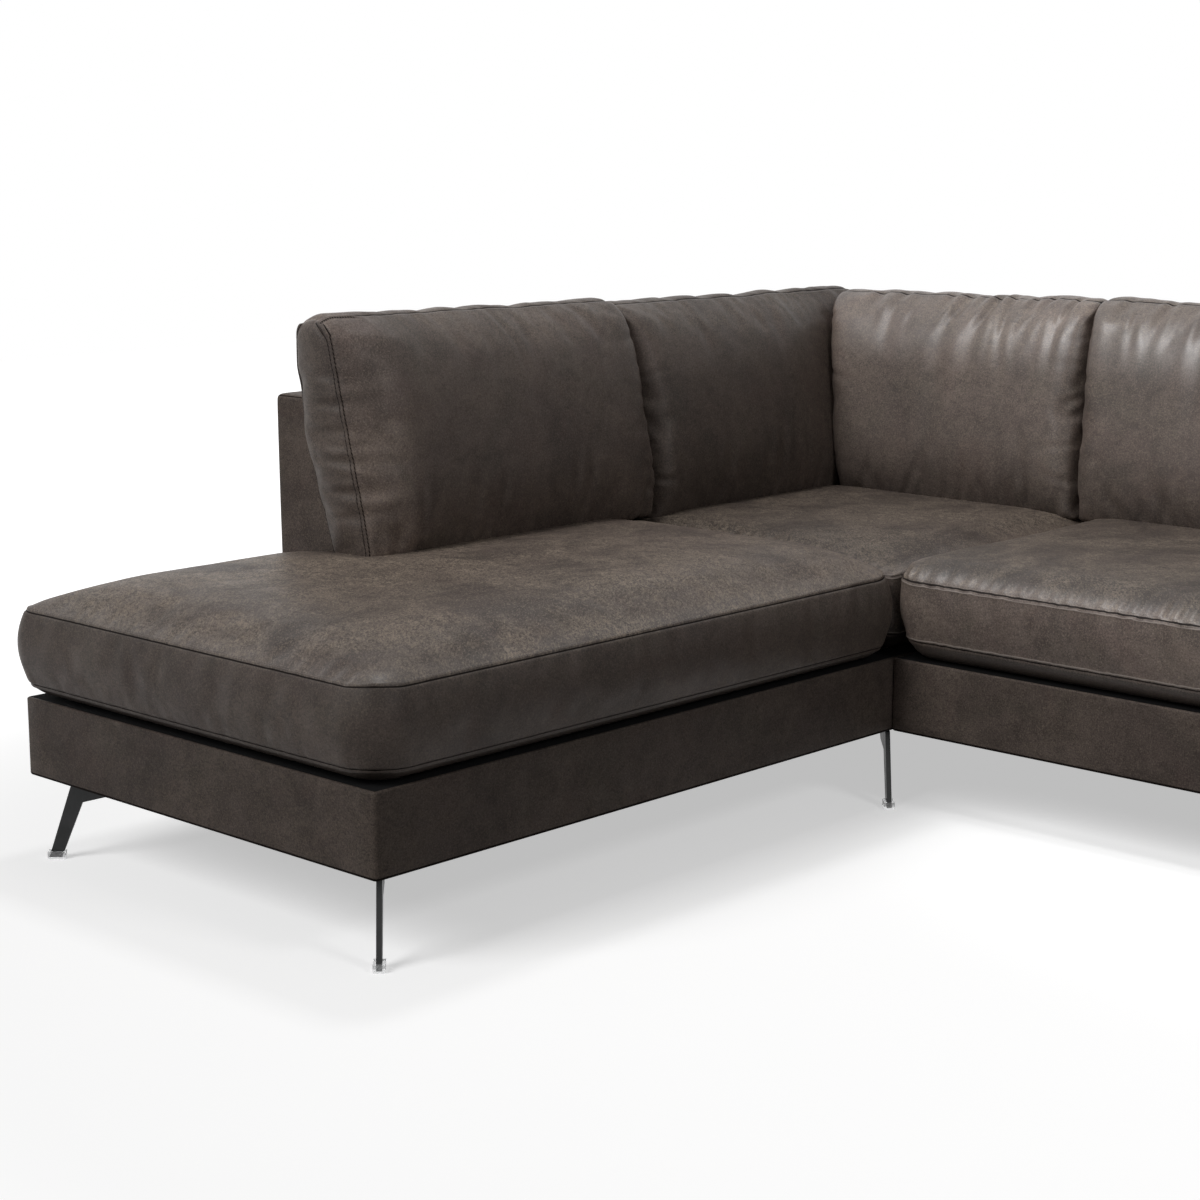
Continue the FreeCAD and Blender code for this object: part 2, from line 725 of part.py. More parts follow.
# Back cushions, numbered from the open end of the left back round to the arm
left_bottom = chaise_seat_crown_height + cushion_rise_clearance
wing_bottom = wing_seat_crown_height + cushion_rise_clearance
first_end = open_side_length + first_cushion_share * (wing_seat_rear - open_side_length)
front_lean = (back_top_reach - back_foot_reach) / (
    back_cushion_tops[1] - back_seam_top_drop - wing_bottom)
frame_lean = (back_foot_thickness - back_top_thickness) / (
    back_top_height - wing_seat_crown_height)
corner_start = (back_foot_reach + back_top_reach) / 2 + back_crown_reach + seat_gap / 2 - (
    front_lean * (back_cushion_tops[1] - back_seam_top_drop - wing_bottom) / 2)
back_cushions = [
    ("left", open_side_length, first_end, left_bottom, (0, 0)),
    ("left", first_end + seat_gap, wing_seat_rear - seat_gap, wing_bottom,
     (0, frame_lean * corner_lean_share)),
    ("rear", corner_start, unit_depth - seat_gap / 2, wing_bottom, (front_lean, 0)),
]
for i in range(wing_seat_count):
    start = unit_depth + i * wing_seat_width
    back_cushions.append(
        ("rear", start + seat_gap / 2, start + wing_seat_width - seat_gap / 2, wing_bottom, (0, 0)))
for number, (wall, start, end, bottom, leans) in enumerate(back_cushions, 1):
    cover, core = back_pair(wall, start, end, back_cushion_tops[number - 1], bottom, leans)
    nodes[f"back_cushion_{number}_cover"] = [cover]
    nodes[f"back_cushion_{number}_core"] = [core]

for name, solids in nodes.items():
    write(name, solids)
print(f"{len(nodes)} nodes, {total_width + seat_overhang:g} wide, "
      f"{total_depth + seat_overhang:g} deep, {max(back_cushion_tops):g} high")
print(f"cushion lift direction: reach {front_lean:.4f} per unit of height")
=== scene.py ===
import math

import bmesh
import bpy
import numpy as np
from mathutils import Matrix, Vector, noise


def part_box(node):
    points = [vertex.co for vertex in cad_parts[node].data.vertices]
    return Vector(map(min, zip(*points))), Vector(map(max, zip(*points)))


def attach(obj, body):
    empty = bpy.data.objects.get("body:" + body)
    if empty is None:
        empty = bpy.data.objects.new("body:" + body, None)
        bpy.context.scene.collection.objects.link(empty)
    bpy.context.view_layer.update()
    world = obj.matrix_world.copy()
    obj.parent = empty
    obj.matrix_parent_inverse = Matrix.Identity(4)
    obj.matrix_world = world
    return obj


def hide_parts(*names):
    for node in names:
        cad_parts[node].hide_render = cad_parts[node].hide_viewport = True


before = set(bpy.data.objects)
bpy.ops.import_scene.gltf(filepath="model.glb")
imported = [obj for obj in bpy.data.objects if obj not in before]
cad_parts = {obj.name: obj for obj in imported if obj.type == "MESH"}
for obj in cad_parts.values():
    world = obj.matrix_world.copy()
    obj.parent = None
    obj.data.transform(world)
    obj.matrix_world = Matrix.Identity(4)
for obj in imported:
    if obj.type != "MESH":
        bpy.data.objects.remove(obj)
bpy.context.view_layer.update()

# An L-shaped leather sofa. Lengths are in metres. The middle of the plan is the origin.
# Walls: the left wall's cushions lean towards -X, the rear wall's towards +Y.

# Base, backs and arm
corner_radius = 0.006
skin_thickness = 0.005
ring_edge = 0.0035
ring_step = 0.03
ring_rise_step = 0.02
ring_wave = 0.0008
edge_round = 0.009
arm_round = 0.011
foot_edge_round = 0.004
skin_step = 0.022
skin_long_step = 0.030
skin_wave = 0.0016
corner_gap = 0.0015

# The raked face of a back frame: how far it reaches at two heights
rake_foot, rake_tip = 0.185, 0.090
rake_low, rake_high = 0.478, 0.762
rake_limit_share = 1.35

# Seats: the crown rises from the top seam, and the band tucks in above the low seam
seat_top_seam = 0.438
low_seams = {"chaise_seat": 0.3135, "corner_seat": 0.322, "wing_seat_1": 0.3255,
             "wing_seat_2": 0.3255}
belly_share = 0.54
tuck_width = 0.2
seat_free_fall = 0.23
seat_hidden_fall = 0.16
crown_power = 0.72
shared_edge_share = 0.62
shared_roll = 0.032
shared_drop = 0.020
small_corner = 0.027
low_corner_growth = 0.014
open_corner_fall = 0.34
open_corner_power = 0.6
seat_roll = 0.044
seat_step = 0.0165
band_edge = 0.005
bead_pitch = 0.031
bead_depth = 0.0048
bead_first, bead_last, bead_fade = 0.005, 0.014, 0.034
bead_jitter_rate = 9.0
chaise_bead_shares = (0.78, 0.12, 0.955, 0.03)
notch_gaps = (0.003, 0.004)
notch_width = 0.140
notch_pinned = 0.04

# Back cushions: places are measured from the outer plane of the back
back_step = 0.0135
back_depth = 0.090
back_crown = 0.046
back_rise = 0.002
crown_foot = 0.150
crown_top = 0.160
crown_end = 0.036
crown_open_end = 0.125
open_end_recess = 0.016
pressed_fall = 0.26
foot_reach = 0.266
top_reach = 0.172
rear_gap = 0.0012
rear_top_reach = 0.074
resting_height = 0.78
top_front_round = 0.055
top_rear_round = 0.031
foot_round = 0.014
end_foot_round = 0.012
end_top_round = 0.020
open_top_round = 0.036
end_round = 0.017
sewn_round = 0.013
end_bulge = 0.010
closed_bulge_share = 0.15
top_fall = 0.012
ripple_height = 0.006
ripple_rate = 11.0
sink = 0.016
lap_out = 0.013
lap_back = 0.022
lap_top, lap_fade = 0.80, 0.12
wall_shift = 0.030
seam_row_share = 0.80

# Seams and stitches
groove_depth = 0.0018
groove_width = 0.0024
rim_height = 0.0011
rim_width = 0.0016
tape_height, tape_width = 0.0011, 0.0024
tape_dip, tape_dip_place, tape_dip_width = 0.0016, 0.006, 0.003
top_seam_share = 0.6
twin_offset = 0.0036
top_stitch_offset = 0.0062
stitch_pitch = 0.0062
seam_wander = 0.0030

# Kinds of folds: the margins at both ends of their row, their step, length, width and depth
gathers = ((0.04, 0.04), 0.068, 0.210, 0.0095, 0.0068)
creases = ((0.05, 0.05), 0.085, 0.120, 0.0075, 0.0034)
foot_folds = ((0.02, 0.02), 0.050, 0.175, 0.0085, 0.0048)
puckers = ((0.03, 0.05), 0.062, 0.070, 0.0065, 0.0026)
end_puckers = ((0.03, 0.05), 0.055, 0.080, 0.0070, 0.0030)
lip_folds = ((0.08, 0.06), 0.060, 0.060, 0.0080, 0.0016)
front_streaks = ((0.03, 0.03), 0.070, 0.150, 0.0140, 0.0013)
low_puckers = ((0.02, 0.02), 0.050, 0.045, 0.0070, 0.0012)
side_streaks = ((0.03, 0.03), 0.080, 0.150, 0.0140, 0.0013)
left_fold_share = 0.16
crease_drop = 0.02
foot_slant = 0.12
lip_place = 0.004
streak_top = 0.12

# The puckers over the open end's twin seam: their size, and the height and strength of each
open_pucker_place = -0.045
open_pucker_length, open_pucker_width, open_pucker_depth = 0.150, 0.0085, 0.0042
open_puckers = ((0.331, 0.6), (0.278, 1.0), (0.231, 0.7), (0.181, 1.1), (0.124, 0.9),
                (0.078, 0.6))

# Settling of the leather: how much it grows and how far it may move
settle_frames = 20
pressure = 4.0
seat_slack, seat_cap = 0.007, 0.005
back_slack, back_cap = 0.016, 0.009
touching = 0.001
far_seam = 1.0
near_zero, near_one = 0.001, 0.999

# How light each piece is, painted light and shade included: the top panel and the sides of seats, lit
# differently, and the top, middle and foot of back cushions. Below the low seam painted shade darkens
# it, and the open end's strip is painted lighter.
tones_and_shading = {"chaise_seat": (0.60, 0.46), "corner_seat": (0.38, 0.58), "wing_seat_1": (0.34, 0.84),
         "wing_seat_2": (0.28, 0.90), "back_cushion_1": (0.62, 0.62, 0.56),
         "back_cushion_2": (0.53, 0.53, 0.46), "back_cushion_3": (0.88, 0.74, 0.40),
         "back_cushion_4": (0.62, 0.62, 0.42), "back_cushion_5": (0.62, 0.62, 0.42)}
frame_tones = {"chaise_border": 0.44, "wing_border": 0.48}
back_tone = 0.64
# Painted shade below the low seams: how dark, where it starts and over what height it fades.
under_shade_share = 0.52
under_shade_start, under_shade_fade = 0.006, 0.008
# How far the sides' lighter painted tone reaches onto a seat's top panel beside the seam.
seam_light_width = 0.022
# Where the back cushions' painted shading sits, from the foot to the top.
back_shading_shares = (0.05, 0.30, 0.62, 0.86)
# The lighter painted strip along the open end of back cushion 1.
strip_light_tone = 0.94
lit_strip_width, lit_strip_fade = 0.075, 0.06

# Wear on faces that look up, and gloss near the seams or at the top of back cushions
wear_start, wear_range = 0.25, 0.6
frame_wear, back_wear, ring_wear = 0.3, 0.25, 0.15
gloss_place, gloss_width = 0.014, 0.020
seam_wear_place, seam_wear_width = 0.02, 0.10
chaise_wear_place, chaise_wear_width = -0.58, 0.36


# Small helpers

def smooth(t):
    t = np.clip(t, 0.0, 1.0)
    return t * t * (3.0 - 2.0 * t)


def dome(distance, fall):
    """A quarter circle's rise from 0 to 1 over a fall."""
    return np.sqrt(1 - (1 - np.clip(distance / fall, 0, 1)) ** 2)


def waves(x, y, z):
    """Soft noise at places given by three coordinates, each of them many or one."""
    places = np.stack(np.broadcast_arrays(x, y, z), axis=1)
    return np.array([noise.noise(Vector(p)) for p in places])


def corners(node):
    low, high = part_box(node)
    return np.array(low), np.array(high)


def spaced(length, step, edge=0.006):
    """Places from 0 to 1 along a length, with a close row beside each end."""
    count = max(2, round((length - 2 * edge) / step))
    inner = np.linspace(edge, length - edge, count + 1)
    return np.concatenate([[0.0], inner, [length]]) / length


def lattice(us, vs, ws):
    """The points and outward quads of a box's surface, divided at the given places."""
    shape = (len(us), len(vs), len(ws))
    grid = np.stack(np.meshgrid(us, vs, ws, indexing="ij"), axis=-1)
    outer = np.ones(shape, bool)
    outer[1:-1, 1:-1, 1:-1] = False
    index = np.full(shape, -1)
    index[outer] = np.arange(outer.sum())
    quads = []
    for axis in range(3):
        for side in (0, -1):
            layer = np.take(index, side, axis=axis)
            ring = [layer[:-1, :-1], layer[1:, :-1], layer[1:, 1:], layer[:-1, 1:]]
            quad = np.stack(ring, axis=-1).reshape(-1, 4)
            quads.append(quad[:, ::-1] if (side == 0) != (axis == 1) else quad)
    return grid[outer], np.concatenate(quads)


def at_corners(a, b, size_a, size_b, radii):
    """The corners of a rectangle, each with its radius, the distances of the places a, b from
    its two sides, and which places are near. Radii go with (0, 0), (1, 0), (1, 1) and (0, 1)."""
    for end_a, end_b, radius in zip((0, 1, 1, 0), (0, 0, 1, 1), radii):
        da = size_a - a if end_a else a
        db = size_b - b if end_b else b
        yield end_a, end_b, radius, da, db, (da < radius) & (db < radius)


def round_pair(a, b, size_a, size_b, radii):
    """Rounds the four corners of a rectangle of places a, b."""
    a, b = a.copy(), b.copy()
    for end_a, end_b, radius, da, db, near in at_corners(a, b, size_a, size_b, radii):
        p = 1.0 - da[near] / radius
        q = 1.0 - db[near] / radius
        new_a = radius * (1.0 - p * np.sqrt(1.0 - q * q / 2.0))
        new_b = radius * (1.0 - q * np.sqrt(1.0 - p * p / 2.0))
        a[near] = size_a - new_a if end_a else new_a
        b[near] = size_b - new_b if end_b else new_b
    return a, b


def inside_gap(a, b, size_a, size_b, radii):
    """How far inside a rectangle with rounded corners the places are."""
    gap = np.minimum.reduce([a, size_a - a, b, size_b - b])
    for _, _, radius, da, db, near in at_corners(a, b, size_a, size_b, radii):
        gap = np.where(near, radius - np.hypot(radius - da, radius - db), gap)
    return np.maximum(gap, 0)


def set_values(mesh, key, values):
    layer = mesh.attributes.new(key, "FLOAT", "POINT")
    layer.data.foreach_set("value", np.asarray(values, dtype=np.float32))


def add_mesh(name, points, faces, attributes=None):
    mesh = bpy.data.meshes.new(name)
    mesh.from_pydata([tuple(p) for p in points], [], [tuple(int(i) for i in f) for f in faces])
    for key, values in (attributes or {}).items():
        set_values(mesh, key, values)
    made = bmesh.new()
    made.from_mesh(mesh)
    bmesh.ops.recalc_face_normals(made, faces=made.faces)
    made.to_mesh(mesh)
    made.free()
    mesh.shade_smooth()
    obj = bpy.data.objects.new(name, mesh)
    bpy.context.scene.collection.objects.link(obj)
    return obj


def read(items, key, width):
    flat = np.empty(len(items) * width)
    items.foreach_get(key, flat)
    return flat.reshape(-1, width)


def get_points(mesh):
    return read(mesh.vertices, "co", 3)


def set_points(mesh, points):
    mesh.vertices.foreach_set("co", np.asarray(points, dtype=np.float32).ravel())
    mesh.update()


def get_normals(mesh):
    return read(mesh.vertex_normals, "vector", 3)


def get_values(mesh, key):
    return read(mesh.attributes[key].data, "value", 1)[:, 0]


def bake_modifiers(obj):
    """Puts the modifiers' result into the mesh."""
    graph = bpy.context.evaluated_depsgraph_get()
    result = bpy.data.meshes.new_from_object(
        obj.evaluated_get(graph), preserve_all_data_layers=True, depsgraph=graph)
    obj.modifiers.clear()
    old = obj.data
    obj.data = result
    bpy.data.meshes.remove(old)
    obj.data.shade_smooth()


def subdivide(obj, levels):
    step = obj.modifiers.new("smooth", "SUBSURF")
    step.levels = step.render_levels = levels
    bake_modifiers(obj)


def set_tone_and_shading(obj, tone_and_shade):
    """How light the piece is, from 0 to 1, painted light and shade included: one number, or the top
    panel and the rest of a seat, lit differently, or the top, middle and foot of a back cushion."""
    mesh = obj.data
    if isinstance(tone_and_shade, float):
        values = np.full(len(mesh.vertices), tone_and_shade)
    elif len(tone_and_shade) == 2:
        top, rest = tone_and_shade
        # Painted light: the top panel and the sides take different tones, and the top panel takes the
        # sides' lighter tone near the seam.
        near = np.exp(-(get_values(mesh, "seam") / seam_light_width) ** 2)
        panel = top + max(rest - top, 0.0) * near
        values = np.where(get_values(mesh, "w") > near_one, panel, rest)
        # Painted shade on the underside below the low seam.
        height = get_points(mesh)[:, 2] - low_seams[obj.name]
        under = 1 - smooth((height + under_shade_start) / under_shade_fade)
        values = values * (1 + (under_shade_share - 1) * under)
    else:
        top, middle, foot = tone_and_shade
        # Painted shading on back cushions: lighter at the top, darker towards the foot.
        values = np.interp(get_values(mesh, "w"), back_shading_shares,
                           (foot, (middle + foot) / 2, middle, top))
    # Painted light: a lighter strip along back cushion 1's open end.
    if obj.name == "back_cushion_1":
        u = get_values(mesh, "u")
        lit_strip = 1 - smooth((u * obj.dimensions.y - lit_strip_width) / lit_strip_fade)
        values = values + (strip_light_tone - values) * lit_strip * (u > near_zero)
    set_values(mesh, "tone_and_shade", values)


def wear_material(obj, material):
    obj.data.materials.clear()
    obj.data.materials.append(material)


def finish_piece(obj, body, material, covered):
    """A leather piece takes its hide, rides its body and replaces the solids it covers."""
    wear_material(obj, material)
    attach(obj, body)
    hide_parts(*covered)


# Materials

class Graph:
    """Short ways to add and join shader nodes."""

    def __init__(self, tree):
        self.tree = tree

    def add(self, kind, **values):
        node = self.tree.nodes.new(kind)
        for key, value in values.items():
            setattr(node, key, value)
        return node

    def feed(self, socket, value):
        if hasattr(value, "is_linked"):
            self.tree.links.new(value, socket)
        else:
            socket.default_value = value

    def place(self, stretch=(1, 1, 1), turn=(0, 0, 0), kind="POINT"):
        source = self.add("ShaderNodeTexCoord")
        mapping = self.add("ShaderNodeMapping", vector_type=kind)
        mapping.inputs["Scale"].default_value = stretch
        mapping.inputs["Rotation"].default_value = turn
        self.feed(mapping.inputs["Vector"], source.outputs["Object"])
        return mapping.outputs["Vector"]

    def noise(self, place, scale, detail=3.0, rough=0.5, twist=0.0):
        node = self.add("ShaderNodeTexNoise")
        self.feed(node.inputs["Vector"], place)
        node.inputs["Scale"].default_value = scale
        node.inputs["Detail"].default_value = detail
        node.inputs["Roughness"].default_value = rough
        node.inputs["Distortion"].default_value = twist
        return node.outputs["Fac"]

    def cells(self, place, scale, feature="F1"):
        node = self.add("ShaderNodeTexVoronoi", feature=feature)
        self.feed(node.inputs["Vector"], place)
        node.inputs["Scale"].default_value = scale
        return node.outputs["Distance"]

    def math(self, operation, a, b=0.0, clamp=False):
        node = self.add("ShaderNodeMath", operation=operation, use_clamp=clamp)
        self.feed(node.inputs[0], a)
        self.feed(node.inputs[1], b)
        return node.outputs[0]

    def plus(self, a, b):
        return self.math("ADD", a, b)

    def minus(self, a, b):
        return self.math("SUBTRACT", a, b)

    def times(self, a, b):
        return self.math("MULTIPLY", a, b)

    def larger(self, a, b):
        return self.math("MAXIMUM", a, b)

    def size(self, a):
        return self.math("ABSOLUTE", a)

    def ramp(self, value, low, high, to_low=0.0, to_high=1.0):
        node = self.add("ShaderNodeMapRange", interpolation_type="SMOOTHSTEP")
        for key, item in (("Value", value), ("From Min", low), ("From Max", high),
                          ("To Min", to_low), ("To Max", to_high)):
            self.feed(node.inputs[key], item)
        return node.outputs["Result"]

    def mix(self, share, a, b):
        node = self.add("ShaderNodeMix", data_type="RGBA")
        self.feed(node.inputs[0], share)
        self.feed(node.inputs[6], a)
        self.feed(node.inputs[7], b)
        return node.outputs[2]

    def bump(self, height, strength, distance, before=None):
        node = self.add("ShaderNodeBump")
        node.inputs["Strength"].default_value = strength
        node.inputs["Distance"].default_value = distance
        self.feed(node.inputs["Height"], height)
        if before is not None:
            self.feed(node.inputs["Normal"], before)
        return node.outputs["Normal"]

    def attribute(self, name):
        node = self.add("ShaderNodeAttribute", attribute_name=name)
        return node.outputs["Fac"]

    def seen(self):
        """1 for the rays from the camera, through clear pieces and off glossy ones."""
        rays = self.add("ShaderNodeLightPath").outputs
        direct = self.larger(rays["Is Camera Ray"], rays["Is Transmission Ray"])
        return self.larger(direct, rays["Is Glossy Ray"])

    def blend(self, share, a, b, output):
        """Puts two shaders, mixed by a share, into an output node."""
        node = self.add("ShaderNodeMixShader")
        for socket, value in zip(node.inputs, (share, a.outputs[0], b.outputs[0])):
            self.feed(socket, value)
        self.feed(output.inputs["Surface"], node.outputs[0])


def new_material(name):
    material = bpy.data.materials.new(name)
    material.use_nodes = True
    tree = material.node_tree
    return material, tree.nodes["Principled BSDF"], Graph(tree)


def surface(g, shader, colour, rough, normal=None):
    for key, value in (("Base Color", colour), ("Roughness", rough), ("Normal", normal)):
        if value is not None:
            g.feed(shader.inputs[key], value)


def hide_colour(g, plain, turned, mottle, speck):
    """Two browns in clouds with plum and moss areas, dark pores, tan flecks and hairlines where
    the hide is worn, and over all the piece's tone together with its painted light and shade."""
    dark, light = (0.088, 0.068, 0.060, 1.0), (0.198, 0.154, 0.135, 1.0)
    plum, moss = (0.168, 0.116, 0.104, 1.0), (0.102, 0.088, 0.073, 1.0)
    tan, pore = (0.500, 0.405, 0.315, 1.0), (0.026, 0.021, 0.019, 1.0)
    drawn = g.place((1.0, 1.9, 2.6), (0.3, 0.2, 0.7))
    pulled = g.place((1.0, 2.6, 1.4), (0.0, 0.0, 0.74), "TEXTURE")
    cloud = g.noise(plain, 4.6, 6.0, 0.62, 0.4)
    hue = g.noise(turned, 8.5, 5.0, 0.62, 0.8)
    area = g.noise(g.place((1, 1, 1), (1.2, 0.3, 0.9)), 5.0, 7.0, 0.70, 0.7)
    fleck = g.noise(pulled, 165.0, 3.0, 0.70, 0.9)
    grit = g.noise(pulled, 360.0, 2.0, 0.7)
    vein = g.noise(drawn, 46.0, 8.0, 0.80, 0.9)
    wear = g.attribute("wear")
    share = g.plus(g.ramp(cloud, 0.34, 0.66, 0.0, 0.45), g.ramp(mottle, 0.34, 0.66, 0.0, 0.55))
    colour = g.mix(share, dark, light)
    colour = g.mix(g.ramp(hue, 0.52, 0.66, 0.0, 0.30), colour, plum)
    colour = g.mix(g.ramp(hue, 0.48, 0.34, 0.0, 0.35), colour, moss)
    colour = g.mix(g.ramp(speck, 0.50, 0.38, 0.0, 0.45), colour, pore)
    worn = g.times(g.ramp(area, 0.36, 0.60), g.ramp(wear, 0.0, 1.0, 0.20, 1.0))
    hairline = g.ramp(g.size(g.minus(vein, 0.5)), 0.0, 0.052, 1.0, 0.0)
    patch = g.ramp(g.noise(drawn, 30.0, 4.0, 0.70, 0.6), 0.42, 0.56)
    flecked = g.times(g.ramp(fleck, 0.50, 0.57), patch)
    scuff = g.times(worn, g.larger(flecked, hairline))
    colour = g.mix(g.times(scuff, 0.92), colour, tan)
    pits = g.times(g.ramp(fleck, 0.46, 0.38), g.ramp(wear, 0.0, 1.0, 0.05, 0.42))
    colour = g.mix(pits, colour, (0.036, 0.030, 0.027, 1.0))
    gritty = g.ramp(wear, 0.0, 1.0, 0.05, 0.60)
    colour = g.mix(g.times(g.ramp(grit, 0.54, 0.64), gritty), colour, tan)
    colour = g.mix(g.times(g.ramp(grit, 0.46, 0.37), gritty), colour, dark)
    colour = g.mix(g.ramp(speck, 0.53, 0.64, 0.0, 0.30), colour, tan)
    dull = g.times(g.ramp(area, 0.60, 0.32), g.ramp(wear, 0.0, 1.0, 0.05, 0.24))
    # The piece's tone and its painted light and shade darken the colour towards near black.
    shade = g.minus(1.0, g.times(g.attribute("tone_and_shade"), g.minus(1.07, dull)))
    return g.mix(shade, colour, (0.010, 0.008, 0.007, 1.0))


def sewn_lines(g, plain):
    """How much of a plain seam, of a row of stitches and of a rubbed rim with a painted highlight
    shows at a place.
    """
    rim = g.attribute("rim")
    wander = g.times(g.minus(g.noise(plain, 55.0, 2.0, 0.5), 0.5), seam_wander)
    wander = g.times(wander, g.ramp(rim, -0.001, 0.0, 1.0, 0.0))
    signed = g.plus(g.attribute("seam"), wander)
    signed = g.minus(signed, g.ramp(rim, -0.0036, 0.0, -0.0010, 0.0))
    seam = g.size(signed)
    axes = g.add("ShaderNodeSeparateXYZ")
    g.feed(axes.inputs[0], plain)
    along = g.plus(g.plus(axes.outputs[0], axes.outputs[1]), axes.outputs[2])
    beat = g.math("FRACT", g.math("DIVIDE", along, stitch_pitch))
    dash = g.times(g.ramp(beat, 0.04, 0.12), g.ramp(beat, 0.60, 0.68, 1.0, 0.0))
    twin = g.attribute("twin")
    line = g.times(g.ramp(seam, 0.0009, 0.0018, 1.0, 0.0), g.minus(1.0, twin))
    offset = g.plus(g.times(twin, twin_offset - top_stitch_offset), top_stitch_offset)
    across = g.size(g.minus(seam, offset))
    row = g.times(g.ramp(across, 0.0004, 0.0010, 1.0, 0.0), dash)
    row = g.times(row, g.ramp(signed, -0.001, 0.001, 0.0, 0.35))
    twin_row = g.times(g.ramp(across, 0.0008, 0.0017, 1.0, 0.0), g.plus(g.times(dash, 0.5), 0.5))
    stitch = g.larger(g.times(twin_row, twin), row)
    off = g.size(g.minus(signed, rim))
    rubbed_rim_and_sheen = g.times(g.ramp(off, 0.0002, 0.0010, 1.0, 0.0), g.ramp(rim, -0.002, 0.004, 0.60, 0.16))
    rubbed_rim_and_sheen = g.times(rubbed_rim_and_sheen, g.ramp(g.size(rim), 0.001, 0.002))
    return line, stitch, rubbed_rim_and_sheen


def leather(name, shine):
    """Worn dark leather with its sewn seams. Shine is how glossy it is away from them."""
    material, shader, g = new_material(name)
    plain = g.place()
    turned = g.place((1, 1, 1), (0.5, 1.0, 0.2))
    mottle = g.noise(turned, 21.0, 6.0, 0.72, 0.6)
    speck = g.noise(plain, 330.0, 3.0, 0.85)
    grain = g.cells(plain, 620.0, "DISTANCE_TO_EDGE")
    gloss = g.attribute("gloss")
    line, stitch, rubbed_rim_and_sheen = sewn_lines(g, plain)
    colour = hide_colour(g, plain, turned, mottle, speck)
    # A rubbed rim beside the seams, painted lighter as a highlight of the raised rim.
    colour = g.mix(rubbed_rim_and_sheen, colour, (0.46, 0.40, 0.36, 1.0))
    colour = g.mix(g.times(line, 0.97), colour, (0.012, 0.009, 0.008, 1.0))
    colour = g.mix(g.times(stitch, 0.97), colour, (0.014, 0.011, 0.010, 1.0))
    rough = g.minus(g.ramp(mottle, 0.3, 0.72, 0.54, 0.43), g.times(gloss, 0.07))
    rough = g.math("ADD", rough, g.times(g.minus(speck, 0.5), 0.14), clamp=True)
    level = g.plus(g.times(gloss, 1.1 * shine), shine)
    level = g.times(level, g.minus(1.0, g.times(g.larger(line, stitch), 0.9)))
    g.feed(shader.inputs["Specular IOR Level"], level)
    normal = g.bump(mottle, 0.20, 0.0025)
    normal = g.bump(speck, 0.09, 0.0006, normal)
    normal = g.bump(g.ramp(grain, 0.0, 0.22), 0.12, 0.00035, normal)
    surface(g, shader, colour, rough, normal)
    return material


def metal_paint(name):
    """Satin black coating with a very fine orange peel."""
    material, shader, g = new_material(name)
    plain = g.place()
    peel = g.noise(plain, 900.0, 3.0, 0.6)
    wear = g.noise(plain, 40.0, 5.0, 0.6)
    colour = g.mix(g.ramp(wear, 0.35, 0.75), (0.013, 0.014, 0.014, 1), (0.026, 0.026, 0.027, 1))
    surface(g, shader, colour, g.ramp(wear, 0.3, 0.7, 0.30, 0.42), g.bump(peel, 0.12, 0.0002))
    shader.inputs["Metallic"].default_value = 0.35
    return material


def zinc(name):
    """Zinc plating with faint spangles."""
    material, shader, g = new_material(name)
    spangle = g.cells(g.place(), 240.0)
    colour = g.mix(g.ramp(spangle, 0.1, 0.7), (0.34, 0.34, 0.33, 1), (0.52, 0.52, 0.50, 1))
    surface(g, shader, colour, g.ramp(spangle, 0.0, 0.8, 0.28, 0.44))
    shader.inputs["Metallic"].default_value = 1.0
    return material


def clear_plastic(name):
    """Milky clear plastic of the glides."""
    material, shader, g = new_material(name)
    haze = g.noise(g.place(), 120.0, 4.0, 0.6)
    colour = g.mix(g.ramp(haze, 0.3, 0.7), (0.80, 0.81, 0.82, 1), (0.92, 0.92, 0.92, 1))
    surface(g, shader, colour, g.ramp(haze, 0.3, 0.7, 0.12, 0.26))
    shader.inputs["Transmission Weight"].default_value = 0.72
    shader.inputs["IOR"].default_value = 1.46
    return material


def timber(name):
    """Planed softwood with rings along the rails."""
    material, shader, g = new_material(name)
    long_grain = g.place((1.2, 9.0, 9.0))
    rings = g.noise(long_grain, 6.0, 6.0, 0.6, 1.4)
    pores = g.noise(g.place((8.0, 90.0, 90.0)), 5.0, 4.0, 0.6)
    colour = g.mix(g.ramp(rings, 0.35, 0.65), (0.52, 0.36, 0.19, 1), (0.70, 0.53, 0.32, 1))
    colour = g.mix(g.ramp(pores, 0.55, 0.75, 0.0, 0.4), colour, (0.36, 0.23, 0.12, 1))
    surface(g, shader, colour, g.ramp(pores, 0.3, 0.7, 0.5, 0.7), g.bump(pores, 0.2, 0.0006))
    return material


def cloth(name, dark, light, threads):
    """Plain woven or non-woven cloth from two crossed waves."""
    material, shader, g = new_material(name)
    bands = []
    for direction in ("X", "Y"):
        wave = g.add("ShaderNodeTexWave", wave_type="BANDS", bands_direction=direction)
        g.feed(wave.inputs["Vector"], g.place())
        wave.inputs["Scale"].default_value = threads
        wave.inputs["Distortion"].default_value = 0.6
        bands.append(wave.outputs["Fac"])
    weave = g.times(*bands)
    fuzz = g.noise(g.place(), 300.0, 4.0, 0.7)
    share = g.plus(g.times(weave, 0.6), g.times(fuzz, 0.4))
    surface(g, shader, g.mix(share, dark, light), g.ramp(fuzz, 0.2, 0.8, 0.80, 0.98),
            g.bump(share, 0.35, 0.0006))
    shader.inputs["Specular IOR Level"].default_value = 0.06
    return material


